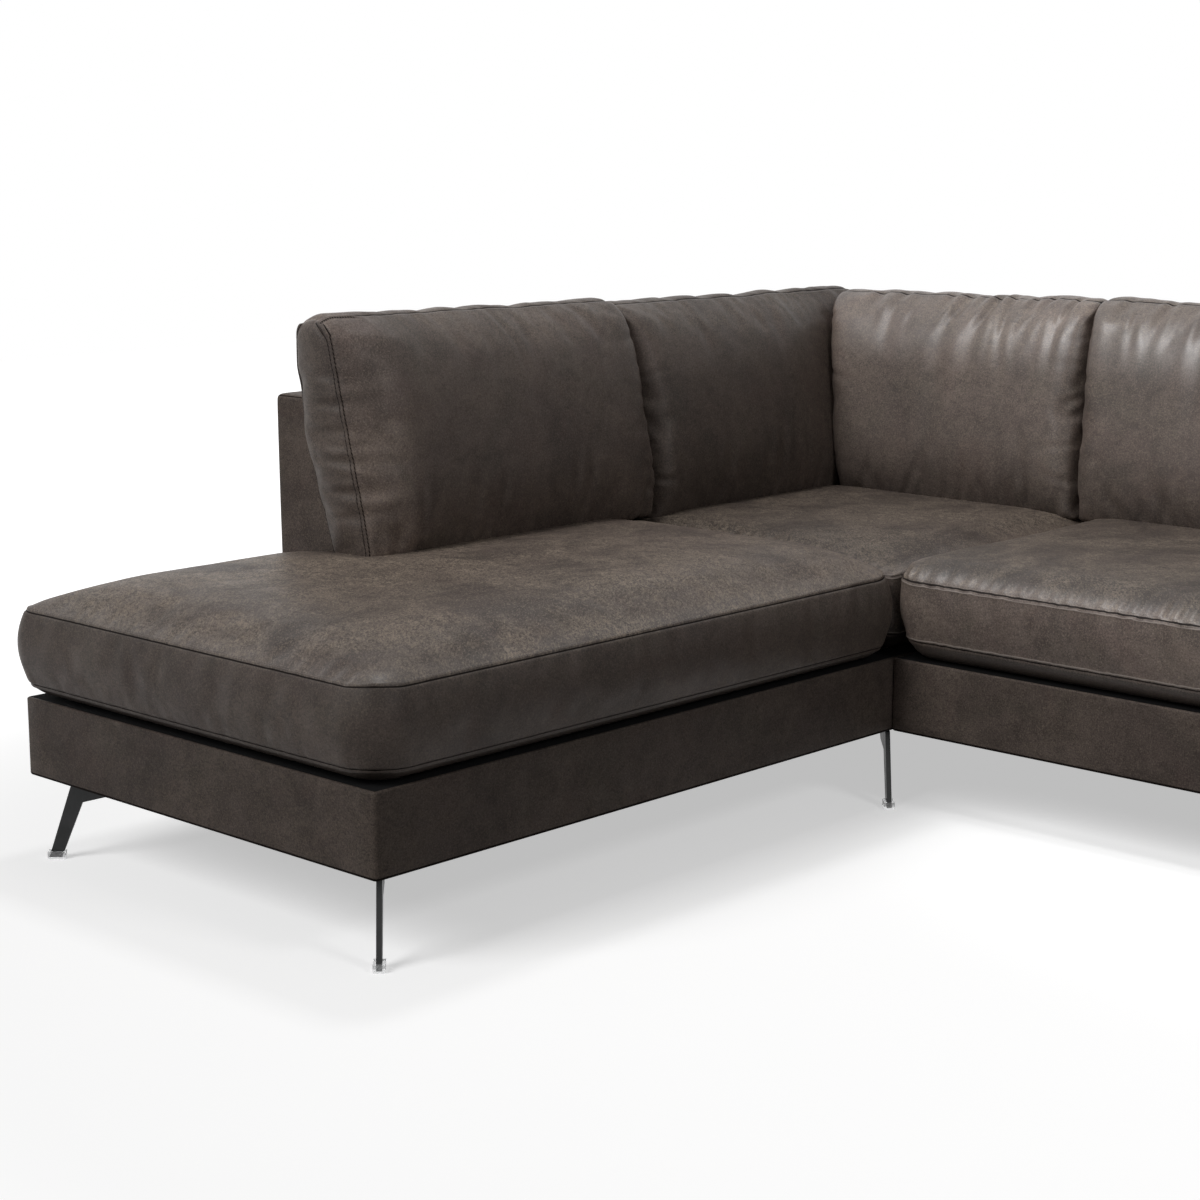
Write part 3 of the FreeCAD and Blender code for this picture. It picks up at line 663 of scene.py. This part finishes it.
frame_leather = leather("frame_leather", 0.075)
seat_leather = leather("seat_leather", 0.17)
wing_leather = leather("wing_leather", 0.28)
shade_leather = leather("shade_leather", 0.17)
face_leather = leather("face_leather", 0.34)
black_paint = metal_paint("black_paint")
zinc_plate = zinc("zinc_plate")
glide_plastic = clear_plastic("glide_plastic")
pale_timber = timber("pale_timber")
black_cloth = cloth("black_cloth", (0.006, 0.006, 0.006, 1), (0.022, 0.022, 0.023, 1), 900.0)
strap_cloth = cloth("strap_cloth", (0.02, 0.02, 0.02, 1), (0.09, 0.085, 0.08, 1), 500.0)


# Cushions

def seam_values(points, seams):
    """The distance from each point to the nearest point of the seam lines."""
    return np.concatenate([np.linalg.norm(part[:, None, :] - seams[None, :, :], axis=2).min(axis=1)
                           for part in np.array_split(points, len(points) // 4000 + 1)])


def seat_cushion(name, open_sides, radii, crest, rim, insets, lip, notch=None,
                 open_corner=None):
    """A seat cushion in the space of its cover. Open sides are those that show. Rim is where
    the raised line beside the seams lies: above them where it is positive. Insets are how far
    the top and low seams lie in, and lip is how high and how wide the top rolls at its edge."""
    low, high = corners(name + "_cover")
    seat_low_seam = low_seams[name]
    size_x, size_y = high[0] - low[0], high[1] - low[1]
    band = seat_top_seam - seat_low_seam
    cell, quads = lattice(spaced(size_x, seat_step), spaced(size_y, seat_step),
                          spaced(band, seat_step, band_edge))
    u, v, w = cell.T
    low_radii = [r + low_corner_growth * (r > small_corner) for r in radii]
    a, b = round_pair(u * size_x, v * size_y, size_x, size_y, radii)
    low_a, low_b = round_pair(u * size_x, v * size_y, size_x, size_y, low_radii)
    lower = 1 - smooth(w / 0.5)
    a, b = a + (low_a - a) * lower, b + (low_b - b) * lower
    radius = max(low_radii)
    centre_a = np.clip(a, radius, size_x - radius)
    centre_b = np.clip(b, radius, size_y - radius)
    out = np.stack([a - centre_a, b - centre_b], axis=1)
    span = np.linalg.norm(out, axis=1)
    out = out / np.maximum(span, 1e-6)[:, None]
    edge = np.minimum.reduce([u, 1 - u, v, 1 - v]) < 1e-9

    def rise(distance, fall):
        return (1 - (1 - np.clip(distance / fall, 0, 1)) ** 2) ** crown_power

    falls = {"left": a, "right": size_x - a, "front": b, "rear": size_y - b}
    depth_in = inside_gap(a, b, size_x, size_y, radii)
    low_depth = inside_gap(a, b, size_x, size_y, low_radii)
    share = np.ones(len(cell))
    for side, distance in falls.items():
        if side in open_sides:
            share *= rise(distance, seat_free_fall)
        else:
            share *= shared_edge_share + (1 - shared_edge_share) * rise(distance, seat_hidden_fall)
    if open_corner:
        reach = np.hypot(falls[open_corner[0]], falls[open_corner[1]])
        share *= smooth(reach / open_corner_fall) ** open_corner_power
    lip_height, lip_width = lip
    gap = np.minimum.reduce([falls[side] for side in open_sides] + [np.full(len(a), far_seam)])
    rounded = depth_in < np.minimum.reduce(list(falls.values())) - 1e-6
    gap = np.minimum(gap, np.where(rounded, depth_in, far_seam))
    top = (seat_top_seam + lip_height * dome(gap, lip_width)
           + (crest - seat_top_seam - lip_height) * share)
    for side, distance in falls.items():
        if side not in open_sides:
            top -= shared_drop * share * (1 - dome(distance, shared_roll))
    z = seat_low_seam + (top - seat_low_seam) * w
    under = (w == 0) & ~edge
    t = np.clip(low_depth / seat_roll, 0, 1)
    z = np.where(under, seat_low_seam - (seat_low_seam - low[2]) * np.sin(t * math.pi / 2), z)
    above = np.clip((w - belly_share) / (1 - belly_share), 0, 1) ** 2
    below = np.clip((belly_share - w) / belly_share, 0, 1) ** 2.2
    inset = insets[0] * above + insets[1] * below
    inner = np.clip(1 - depth_in / tuck_width, 0, 1)
    x = low[0] + a - out[:, 0] * inset * inner
    y = low[1] + b - out[:, 1] * inset * inner
    sewn = edge & ((w == 0) | (w == 1))
    pinned = sewn | (w == 0)
    if notch:
        notch_x, notch_y, keep = notch
        near = (y > notch_y) & (x < keep)
        x = np.where(near, notch_x + (x - low[0]) * (keep - notch_x) / (keep - low[0]), x)
        pinned |= (x < keep) & (y > notch_y - notch_pinned)
    for side, distance in falls.items():
        if side not in open_sides:
            pinned |= distance < touching
    points = np.stack([x, y, z], axis=1)
    distance = seam_values(points, points[sewn])
    distance = np.where(((w == 1) & ~edge) | under, distance, -distance)
    obj = add_mesh(name, points, quads, {
        "seam": distance, "twin": np.zeros(len(cell)), "u": u, "v": v, "w": w})
    return {"obj": obj, "pinned": pinned, "slack": seat_slack, "cap": seat_cap,
            "body": "frame", "rim": rim, "fill": 0.85, "size": (size_x, size_y, band), "kind": "seat"}


def on_wall(wall, wall_plane, reach, along, height):
    """Points from the distance to the outer back plane, the place along it and the height."""
    if wall == "left":
        return np.stack([wall_plane + reach, along, height], axis=1)
    return np.stack([along, wall_plane - reach, height], axis=1)


def back_face(height):
    """How far the raked back frame reaches at a height."""
    t = np.clip((height - rake_low) / (rake_high - rake_low), 0, rake_limit_share)
    return rake_foot + (rake_tip - rake_foot) * t


def back_cushion(number, wall, wall_plane, lean=0.0, pressed=0.0, shift=(0.0, 0.0),
                 rises=(0.0, 0.0), tilts=(0.0, 0.0)):
    """A back cushion: a front panel that runs over the top, two ends and a rear panel.
    Its first end leans, its crown is flat where another cushion presses on its far end, and
    shift and rises move its two ends along the wall and upwards. Tilts move the top of each end.
    The first cushion's near end is open, with a sewn edge and a lap over the back frame."""
    name = f"back_cushion_{number}"
    is_open = number == 1
    low, high = corners(name + "_cover")
    axis = 1 if wall == "left" else 0
    start, end = low[axis] + shift[0], high[axis] + shift[1]
    bottom, top = low[2] - sink, high[2] + back_rise
    if lean:
        start = low[axis] - lean * (high[2] - low[2]) - wall_shift
    if is_open:
        start -= lap_out
    length, rise, depth = end - start, top - bottom, back_depth
    vs = spaced(depth, back_step)
    cell, quads = lattice(spaced(length, back_step), vs, spaced(rise, back_step))
    u, v, w = cell.T
    d, h = round_pair(v * depth, w * rise, depth, rise,
                      (foot_round, foot_round, top_front_round, top_rear_round))
    first_top, first_front = (open_top_round, sewn_round) if is_open else (end_top_round, end_round)
    a, h = round_pair(u * length, h, length, rise,
                      (end_foot_round, end_foot_round, end_top_round, first_top))
    a, d = round_pair(a, d, length, depth, (sewn_round, sewn_round, end_round, first_front))
    t = h / rise
    first_end = crown_open_end if is_open else crown_end
    swell = dome(a, first_end)
    recess = 0.0
    if is_open:
        bow = np.sin(np.clip(a / first_end, 0, 1) * math.pi / 2)
        swell = 0.5 * swell + 0.5 * bow
        recess = open_end_recess * (1 - bow) * smooth(t / 0.9)
    if pressed:
        swell = swell * smooth((length - pressed - a) / pressed_fall)
    else:
        swell = swell * dome(length - a, crown_end)
    lift = dome(h, crown_foot) * dome(rise - h, crown_top)
    full = 0.80 + 0.20 * 4 * t * (1 - t)
    front = foot_reach + (top_reach - foot_reach) * t + back_crown * lift * swell * full - recess
    height = bottom + h
    rear = np.maximum(back_face(height) + rear_gap, rear_top_reach)
    if is_open:
        lap = lap_back * smooth((lap_top - height) / lap_fade)
        rear = rear - np.where(a < 0.5 * lap_out, lap, 0.0)
    share = d / depth
    reach = rear + (front - rear) * share
    upper = smooth((t - 0.8) / 0.2)
    height = height - top_fall * (1 - share) ** 1.5 * upper
    height = height + (rises[0] + (rises[1] - rises[0]) * a / length) * smooth(t)
    ripple = waves(a * ripple_rate, 3.0 * number, 0.0)
    height = height + ripple_height * ripple * upper * (1 - 0.7 * share)
    ends = (u == 0) | (u == 1)
    puff = np.where(ends, np.clip(16 * share * (1 - share) * t * (1 - t), 0, 1) ** 0.6, 0)
    if not is_open:
        puff = closed_bulge_share * puff
    along = start + a + end_bulge * puff * np.where(u == 0, -1.0, 0.0)
    along = along + (tilts[0] + (tilts[1] - tilts[0]) * a / length) * t
    along = along + lean * np.where(u < 0.5, 1 - 2 * u, 0.0) * (height - bottom)
    points = on_wall(wall, wall_plane, reach, along, height)
    seam_row, end_row = vs[np.argmin(np.abs(vs - seam_row_share))], vs[-4]
    front_edges = np.where((u == 0) & is_open, v == 1, ends & (v == end_row))
    seams = (front_edges | ((v == seam_row) & (w == 1)) | (ends & (v == 0))
             | (ends & (v == seam_row) & (t > 0.97)))
    distance = seam_values(points, points[seams])
    distance = np.where(t > 0.9, top_seam_share * distance, distance)
    twin = np.where((u < 0.1) & is_open, 1.0, 0.0)
    obj = add_mesh(name, points, quads, {"seam": distance, "twin": twin, "u": u, "v": v, "w": w})
    pinned = seams | (w == 0) | ((v == 0) & (height < resting_height))
    return {"obj": obj, "pinned": pinned, "slack": back_slack, "cap": back_cap, "body": name,
            "fill": 0.8, "rim": 0.0, "size": (length, depth, rise), "kind": "back",
            "number": number}


# Folds sewn or pressed into the leather

def fold_shift(x, y, folds):
    """How far the folds move the surface out. A fold starts at a place on the flat chart, runs
    at an angle, fades along its length, and is a valley between two ridges."""
    shift = np.zeros(len(x))
    for at_x, at_y, angle, length, width, depth in folds:
        along = (x - at_x) * math.cos(angle) + (y - at_y) * math.sin(angle)
        across = (y - at_y) * math.cos(angle) - (x - at_x) * math.sin(angle)
        near = (along > -0.2 * length) & (along < length) & (np.abs(across) < 6 * width)
        s = along[near] / length
        fade = smooth((s + 0.2) / 0.3) * (1 - np.clip(s, 0, 1)) ** 1.3
        t = np.abs(across[near]) / (width * (0.7 + 0.9 * np.clip(s, 0, 1)))
        shape = 0.55 * np.exp(-((t - 2.0) / 0.9) ** 2) - np.exp(-t ** 2)
        shift[near] += depth * fade * shape
    return shift


def fold_row(draw, kind, total, place, angle, upright=False, strength=1.0):
    """Uneven folds of one kind side by side over a total length, at a place across it."""
    (before, after), step, length, width, depth = kind
    span = total - after - before
    folds = []
    along = step * draw.uniform(0.3, 1.0)
    while along < span:
        x, y = (place, before + along) if upright else (before + along, place)
        folds.append((x, y, angle + draw.normal(0, 0.17), length * draw.uniform(0.5, 1.35),
                      width * draw.uniform(0.8, 1.35),
                      depth * strength * draw.uniform(0.35, 1.25)))
        along += step * draw.uniform(0.55, 1.45)
    return folds


def back_folds(piece):
    """Gathers under the top seam and at the foot, and puckers across the upright seams. The
    folds at the top are weak on the left wall's cushions."""
    length, depth, rise = piece["size"]
    number = piece["number"]
    draw = np.random.default_rng(40 + number)
    up, down = math.pi / 2, -math.pi / 2
    strength = 1.0 if number > 2 else left_fold_share
    folds = fold_row(draw, gathers, length, rise + 0.20 * depth, down, strength=strength)
    folds += fold_row(draw, creases, length, rise - crease_drop, down, strength=strength)
    folds += fold_row(draw, foot_folds, length, 0.0, up - foot_slant)
    if number == 1:
        for height, deep in open_puckers:
            folds.append((open_pucker_place, height, draw.normal(0.06, 0.08),
                          open_pucker_length, open_pucker_width, open_pucker_depth * deep))
    else:
        folds += fold_row(draw, puckers, rise, 0.0, 0.0, upright=True)
    folds += fold_row(draw, end_puckers, rise, length, math.pi, upright=True)
    return folds


def back_shift(piece, u, v, w):
    """How far the folds move a back cushion's leather, on a chart of its front and ends."""
    length, depth, rise = piece["size"]
    behind = (1 - v) * depth
    x = np.where(u < near_zero, -behind, np.where(u > near_one, length + behind, u * length))
    y = w * rise + np.where(w > near_one, behind, 0.0)
    mask = np.where((v < near_zero) & (w < near_one), 0.0, 1.0)
    foot = (w < near_zero) & (v < near_one)
    mask = mask * np.where(foot, smooth((v - 0.6) / 0.4), 1.0)
    return mask * fold_shift(x, y, back_folds(piece))


def seat_shift(piece, u, v, w):
    """Small folds and a row of beads behind a seat's front seam, and streaks down its band.
    The chaise has beads only at the far right of its front."""
    size_x, size_y, band = piece["size"]
    draw = np.random.default_rng(int(1000 * size_x))
    up, down = math.pi / 2, -math.pi / 2
    x, y, height = u * size_x, v * size_y, w * band
    folds = fold_row(draw, lip_folds, size_x, lip_place, up)
    jitter = waves(x * bead_jitter_rate, 0.5 * size_x, 0.0)
    beads = 0.5 - 0.5 * np.cos((x / bead_pitch + 0.6 * jitter) * 2 * math.pi)
    beads = beads * smooth(y / bead_first) * (1 - smooth((y - bead_last) / bead_fade))
    uneven = np.clip(0.95 + 0.4 * jitter, 0.6, 1.2)
    if piece["rim"] > 0:
        start, start_fade, end, end_fade = chaise_bead_shares
        uneven = uneven * smooth((u - start) / start_fade) * smooth((end - u) / end_fade)
    shift = np.where(w > near_one, fold_shift(x, y, folds) - bead_depth * beads * uneven, 0.0)
    on_band = w < near_one
    front = fold_row(draw, front_streaks, size_x, streak_top, down)
    front += fold_row(draw, low_puckers, size_x, 0.0, up)
    shift += np.where((v < near_zero) & on_band, fold_shift(x, height, front), 0.0)
    side = fold_row(draw, side_streaks, size_y, streak_top, down)
    return shift + np.where((u > near_one) & on_band, fold_shift(y, height, side), 0.0)


def press_folds(piece):
    mesh = piece["obj"].data
    chart = [get_values(mesh, key) for key in "uvw"]
    shift = (back_shift if piece["kind"] == "back" else seat_shift)(piece, *chart)
    set_points(mesh, get_points(mesh) + get_normals(mesh) * shift[:, None])


def settle(pieces):
    """Lets the leather buckle between its pinned seams, with a cap on how far it moves."""
    scene = bpy.context.scene
    for piece in pieces:
        obj = piece["obj"]
        group = obj.vertex_groups.new(name="pins")
        group.add(np.nonzero(piece["pinned"])[0].tolist(), 1.0, "REPLACE")
        cloth_step = obj.modifiers.new("settle", "CLOTH")
        facts = cloth_step.settings
        facts.quality = 5
        facts.mass = 0.5
        facts.tension_stiffness = 25.0
        facts.compression_stiffness = 25.0
        facts.shear_stiffness = 12.0
        facts.bending_stiffness = 0.9
        facts.vertex_group_mass = "pins"
        facts.shrink_min = -piece["slack"]
        facts.use_pressure = True
        facts.uniform_pressure_force = pressure
        facts.effector_weights.gravity = 0.0
        cloth_step.collision_settings.use_collision = False
        piece["rest"] = get_points(obj.data)
    for number in range(1, settle_frames + 1):
        scene.frame_set(number)
    graph = bpy.context.evaluated_depsgraph_get()
    for piece in pieces:
        obj = piece["obj"]
        moved = get_points(obj.evaluated_get(graph).data)
        step = moved - piece["rest"]
        size = np.linalg.norm(step, axis=1)
        cap = piece["cap"]
        limit = cap * np.tanh(size / cap) / np.maximum(size, 1e-9)
        piece["moved"] = piece["rest"] + step * limit[:, None]
    for piece in pieces:
        obj = piece["obj"]
        obj.modifiers.clear()
        obj.vertex_groups.clear()
        set_points(obj.data, piece["moved"])
    scene.frame_set(1)


def sew(obj, rim=0.0, kind="frame"):
    """Draws the seams into the surface: a narrow groove, a raised tape at twin rows, and a
    raised rim beside plain seams. Says where the hide is worn and where it is glossy."""
    mesh = obj.data
    signed = get_values(mesh, "seam")
    seam = np.abs(signed)
    twin = np.clip(get_values(mesh, "twin"), 0, 1)
    groove = -groove_depth * np.exp(-(seam / groove_width) ** 2)
    tape = (tape_height * np.exp(-(seam / tape_width) ** 2)
            - tape_dip * np.exp(-((seam - tape_dip_place) / tape_dip_width) ** 2))
    shift = groove * (1 - twin) + tape * twin
    if rim:
        shift = shift + rim_height * np.exp(-((signed - rim) / rim_width) ** 2)
    normals = get_normals(mesh)
    wear = smooth((normals[:, 2] - wear_start) / wear_range)
    gloss = np.zeros(len(seam))
    if kind == "frame":
        wear = wear * frame_wear
    elif kind == "back":
        wear = wear * back_wear
        w = get_values(mesh, "w")
        shaded = hides[obj.name] == shade_leather
        gloss = 0.4 * smooth(w) if shaded else smooth((w - 0.60) / 0.22)
    else:
        ridge = np.exp(-((signed - gloss_place) / gloss_width) ** 2)
        gloss = np.where(get_values(mesh, "w") > 0.98, ridge, 0.0)
        if obj.name == "chaise_seat":
            away = (get_points(mesh)[:, 1] - chaise_wear_place) / chaise_wear_width
            wear = wear * (0.50 + 0.50 * np.exp(-away ** 2))
        else:
            wear = wear * smooth((signed + seam_wear_place) / seam_wear_width) ** 0.5
    for key, values in (("rim", np.full(len(seam), rim)), ("wear", wear), ("gloss", gloss)):
        set_values(mesh, key, values)
    set_points(mesh, get_points(mesh) + normals * shift[:, None])


hides = {"chaise_seat": seat_leather, "corner_seat": seat_leather, "wing_seat_1": wing_leather,
         "wing_seat_2": wing_leather, "back_cushion_1": shade_leather,
         "back_cushion_2": shade_leather, "back_cushion_3": face_leather,
         "back_cushion_4": face_leather, "back_cushion_5": face_leather}
left_low, left_high = corners("left_back_cover")
chaise_notch = (left_high[0] + notch_gaps[0], left_low[1] - notch_gaps[1],
                left_high[0] + notch_width)
wing_seat = {"open_sides": ("front",), "crest": 0.478, "rim": -0.0036, "insets": (0.003, 0.008),
             "lip": (0.022, 0.044)}
cushions = [
    seat_cushion("chaise_seat", ("left", "right", "front"), (0.040, 0.076, 0.042, 0.016), 0.490,
                 0.0055, (0.015, 0.011), (0.006, 0.016), chaise_notch),
    seat_cushion("corner_seat", (), (0.016, 0.030, 0.016, 0.016), 0.478, -0.0036,
                 (0.006, 0.012), (0.0, 0.01), open_corner=("right", "front")),
    seat_cushion("wing_seat_1", radii=(0.052, 0.026, 0.016, 0.016), **wing_seat),
    seat_cushion("wing_seat_2", radii=(0.026, 0.040, 0.016, 0.016), **wing_seat),
]
left_plane, rear_plane = left_low[0], left_high[1]
cushions += [
    back_cushion(1, "left", left_plane, rises=(0.0, -0.008)),
    back_cushion(2, "left", left_plane, pressed=0.09, rises=(0.0, -0.004)),
    back_cushion(3, "rear", rear_plane, -0.229, shift=(0.0, -0.016), rises=(0.001, 0.010),
                 tilts=(0.0, -0.034)),
    back_cushion(4, "rear", rear_plane, shift=(-0.016, 0.0), rises=(0.009, 0.012),
                 tilts=(-0.034, 0.0)),
    back_cushion(5, "rear", rear_plane, rises=(0.012, 0.010)),
]
settle(cushions)
for piece in cushions:
    obj = piece["obj"]
    subdivide(obj, 1)
    press_folds(piece)
    subdivide(obj, 1)
    sew(obj, piece["rim"], piece["kind"])
    set_tone_and_shading(obj, tones_and_shading[obj.name])
    finish_piece(obj, piece["body"], hides[obj.name], (obj.name + "_cover", obj.name + "_core"))


# Frame skins

def ring_skin(name, node):
    """The leather round a base: a band with rounded corners and edges."""
    low, high = corners(node)
    size_x, size_y, rise = high - low
    us, vs = spaced(size_x, ring_step), spaced(size_y, ring_step)
    rim = [(u, 0.0) for u in us[:-1]] + [(1.0, v) for v in vs[:-1]]
    rim += [(u, 1.0) for u in us[:0:-1]] + [(0.0, v) for v in vs[:0:-1]]
    rim = np.array(rim) * (size_x, size_y)
    a, b = round_pair(rim[:, 0], rim[:, 1], size_x, size_y, [corner_radius] * 4)
    edge, top = ring_edge, rise - ring_edge
    heights = spaced(rise, ring_rise_step, 0.003) * rise
    profile = [(0.0, edge)] + [(0.0, h) for h in heights if edge < h < top] + [(0.0, top)]
    profile += [(edge * (1 - math.cos(t)), top + edge * math.sin(t)) for t in (0.5, 1.05, 1.57)]
    profile += [(skin_thickness, rise), (skin_thickness, 0.0)]
    profile += [(edge * (1 - math.sin(t)), edge * (1 - math.cos(t))) for t in (0.0, 0.52, 1.05)]
    centre_a = np.clip(a, 0.02, size_x - 0.02)
    centre_b = np.clip(b, 0.02, size_y - 0.02)
    inward = np.stack([centre_a - a, centre_b - b], axis=1)
    inward /= np.abs(inward).max(axis=1)[:, None]
    count, layers = len(a), len(profile)
    rings = []
    for inset, h in profile:
        wave = waves(a * 7.0, b * 7.0, h * 9.0) if inset == 0.0 else np.zeros(count)
        shift = inset - ring_wave * wave
        rings.append(np.stack([low[0] + a + inward[:, 0] * shift,
                               low[1] + b + inward[:, 1] * shift,
                               np.full(count, low[2] + h)], axis=1))
    # The band's rounded foot reads as a seam, so a dark line is drawn along it.
    from_foot = [-max(h - edge, 0.0) if inset < edge + 1e-6 else -far_seam for inset, h in profile]
    index = np.arange(count * layers).reshape(layers, count)
    after, above = np.roll(index, -1, axis=1), np.roll(index, -1, axis=0)
    faces = np.stack([index, after, np.roll(above, -1, axis=1), above], axis=-1).reshape(-1, 4)
    nothing = np.zeros(count * layers)
    obj = add_mesh(name, np.concatenate(rings), faces, {
        "seam": np.repeat(from_foot, count), "twin": nothing, "rim": nothing,
        "wear": nothing + ring_wear, "gloss": nothing})
    set_tone_and_shading(obj, frame_tones[node])
    finish_piece(obj, "frame", frame_leather, [node])


ring_skin("chaise_border_skin", "chaise_border")
ring_skin("wing_border_skin", "wing_border")


def padded_skin(name, node, wall, edge, raked, corner=False):
    """The leather over a back frame or the arm: a box with soft edges and seams along them."""
    low, high = corners(node)
    axis = 1 if wall == "left" else 0
    start, end = low[axis], high[axis]
    depth = abs(high[1 - axis] - low[1 - axis])
    length, rise = end - start, high[2] - low[2]
    cell, quads = lattice(spaced(length, skin_long_step), spaced(depth, skin_step),
                          spaced(rise, skin_step))
    u, v, w = cell.T
    upright = (foot_edge_round, foot_edge_round, edge, edge)
    d, h = round_pair(v * depth, w * rise, depth, rise, upright)
    a, h = round_pair(u * length, h, length, rise, upright)
    a, d = round_pair(a, d, length, depth, [edge] * 4)
    height = low[2] + h
    reach = d / depth * (back_face(height) if raked else depth)
    along = start + a
    if corner:
        first = left_low[0] + back_face(height) + corner_gap
        along = first + (end - first) * a / length
    points = on_wall(wall, low[0] if wall == "left" else high[1], reach, along, height)
    at_u, at_v = (u == 0) | (u == 1), (v == 0) | (v == 1)
    seams = (at_u & at_v) | ((at_u | at_v) & (w == 1))
    distance = seam_values(points, points[seams])
    soft = waves(*(points * 6.0).T) * skin_wave
    obj = add_mesh(name, points, quads, {"seam": distance, "twin": np.zeros(len(points))})
    set_points(obj.data, points + get_normals(obj.data) * soft[:, None])
    subdivide(obj, 2)
    sew(obj)
    set_tone_and_shading(obj, back_tone)
    finish_piece(obj, "frame", frame_leather, [node])


padded_skin("left_back_skin", "left_back_cover", "left", edge_round, True)
padded_skin("corner_back_skin", "corner_back_cover", "rear", edge_round, True, True)
padded_skin("wing_back_skin", "wing_back_cover", "rear", edge_round, True)
padded_skin("arm_skin", "arm_cover", "left", arm_round, False)


def dress(names, material, bevel=0.0):
    """Gives CAD solids their material, and their edges a bevel."""
    for name in names:
        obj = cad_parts[name]
        wear_material(obj, material)
        if bevel:
            step = obj.modifiers.new("edge", "BEVEL")
            step.width = bevel
            step.segments = 2
            step.limit_method = "ANGLE"


nodes = list(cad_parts)
timber_bevel, steel_bevel, glide_bevel = 0.001, 0.0009, 0.0012
dress([n for n in nodes if n.endswith(("_rails", "_ribs", "_blocks", "_panels"))], pale_timber,
      timber_bevel)
dress([n for n in nodes if n.endswith("_straps")], strap_cloth)
dress([n for n in nodes if n.endswith(("_deck", "dust_cover", "grip_strips"))], black_cloth)
dress([n for n in nodes if n.startswith("leg_") and not n.endswith(("glides", "screws", "blocks"))],
      black_paint, steel_bevel)
dress(["leg_glides"], glide_plastic, glide_bevel)
dress(["leg_screws", "unit_bolts", "back_bolts"], zinc_plate)


# Camera, light and floor

def studio():
    scene = bpy.context.scene
    camera_data = bpy.data.cameras.new("camera")
    camera = bpy.data.objects.new("camera", camera_data)
    scene.collection.objects.link(camera)
    camera.location = (2.2149, -3.3549, 1.2481)
    camera.rotation_euler = (math.radians(78.95), 0.0, math.radians(43.27))
    camera_data.lens = 73.2
    camera_data.sensor_width = 36.0
    scene.camera = camera

    world = bpy.data.worlds.new("studio")
    scene.world = world
    world.use_nodes = True
    world.node_tree.nodes.clear()
    g = Graph(world.node_tree)
    fill, back = g.add("ShaderNodeBackground"), g.add("ShaderNodeBackground")
    for node, strength in ((fill, 0.06), (back, 1.0)):
        node.inputs["Strength"].default_value = strength
        node.inputs["Color"].default_value = (1, 1, 1, 1)
    g.blend(g.seen(), fill, back, g.add("ShaderNodeOutputWorld"))

    def light(name, kind, power):
        data = bpy.data.lights.new(name, kind)
        data.energy = power
        obj = bpy.data.objects.new(name, data)
        scene.collection.objects.link(obj)
        return data, obj

    def lamp(name, place, aim, size, power, beam=180.0):
        data, obj = light(name, "AREA", power)
        data.shape = "RECTANGLE"
        data.size, data.size_y = size
        data.spread = math.radians(beam)
        obj.location = place
        obj.rotation_euler = (Vector(aim) - Vector(place)).to_track_quat("-Z", "Y").to_euler()

    data, obj = light("front_sun", "SUN", 1.40)
    data.angle = math.radians(30.0)
    obj.rotation_euler = Vector((-0.14, -0.74, 0.65)).to_track_quat("Z", "Y").to_euler()
    lamp("right_softbox", (3.6, -0.6, 3.0), (0.0, 0.3, 0.6), (1.1, 0.8), 28.0)
    lamp("top_softbox", (-1.15, -0.05, 3.06), (0.2, 0.4, 0.5), (0.5, 0.4), 13.0)
    lamp("shoulder_softbox", (-0.56, -0.59, 2.32), (0.5, 0.85, 0.75), (0.4, 0.3), 3.6, 70.0)

    far = 9
    square = [(-far, -far, 0), (far, -far, 0), (far, far, 0), (-far, far, 0)]
    floor = add_mesh("floor", square, [range(4)])
    material, shader, f = new_material("floor_white")
    mottle = f.noise(f.place(), 2.0, 3.0, 0.5)
    f.feed(shader.inputs["Base Color"],
           f.mix(mottle, (0.87, 0.87, 0.87, 1), (0.89, 0.89, 0.89, 1)))
    shader.inputs["Roughness"].default_value = 0.9
    shader.inputs["Specular IOR Level"].default_value = 0.0
    away = f.add("ShaderNodeVectorMath", operation="LENGTH")
    f.feed(away.inputs[0], f.place())
    glow = f.add("ShaderNodeEmission")
    f.feed(glow.inputs["Color"],
           f.mix(f.ramp(away.outputs["Value"], 1.7, 3.2), (0.51, 0.51, 0.51, 1), (1, 1, 1, 1)))
    glow.inputs["Strength"].default_value = 1.0
    grey = f.add("ShaderNodeBsdfDiffuse")
    grey.inputs["Color"].default_value = (0.16, 0.16, 0.16, 1)
    lit = f.add("ShaderNodeAddShader")
    f.feed(lit.inputs[0], shader.outputs[0])
    f.feed(lit.inputs[1], glow.outputs[0])
    f.blend(f.seen(), grey, lit, f.tree.nodes["Material Output"])
    floor.data.materials.append(material)
    scene.view_settings.view_transform = "Standard"


studio()
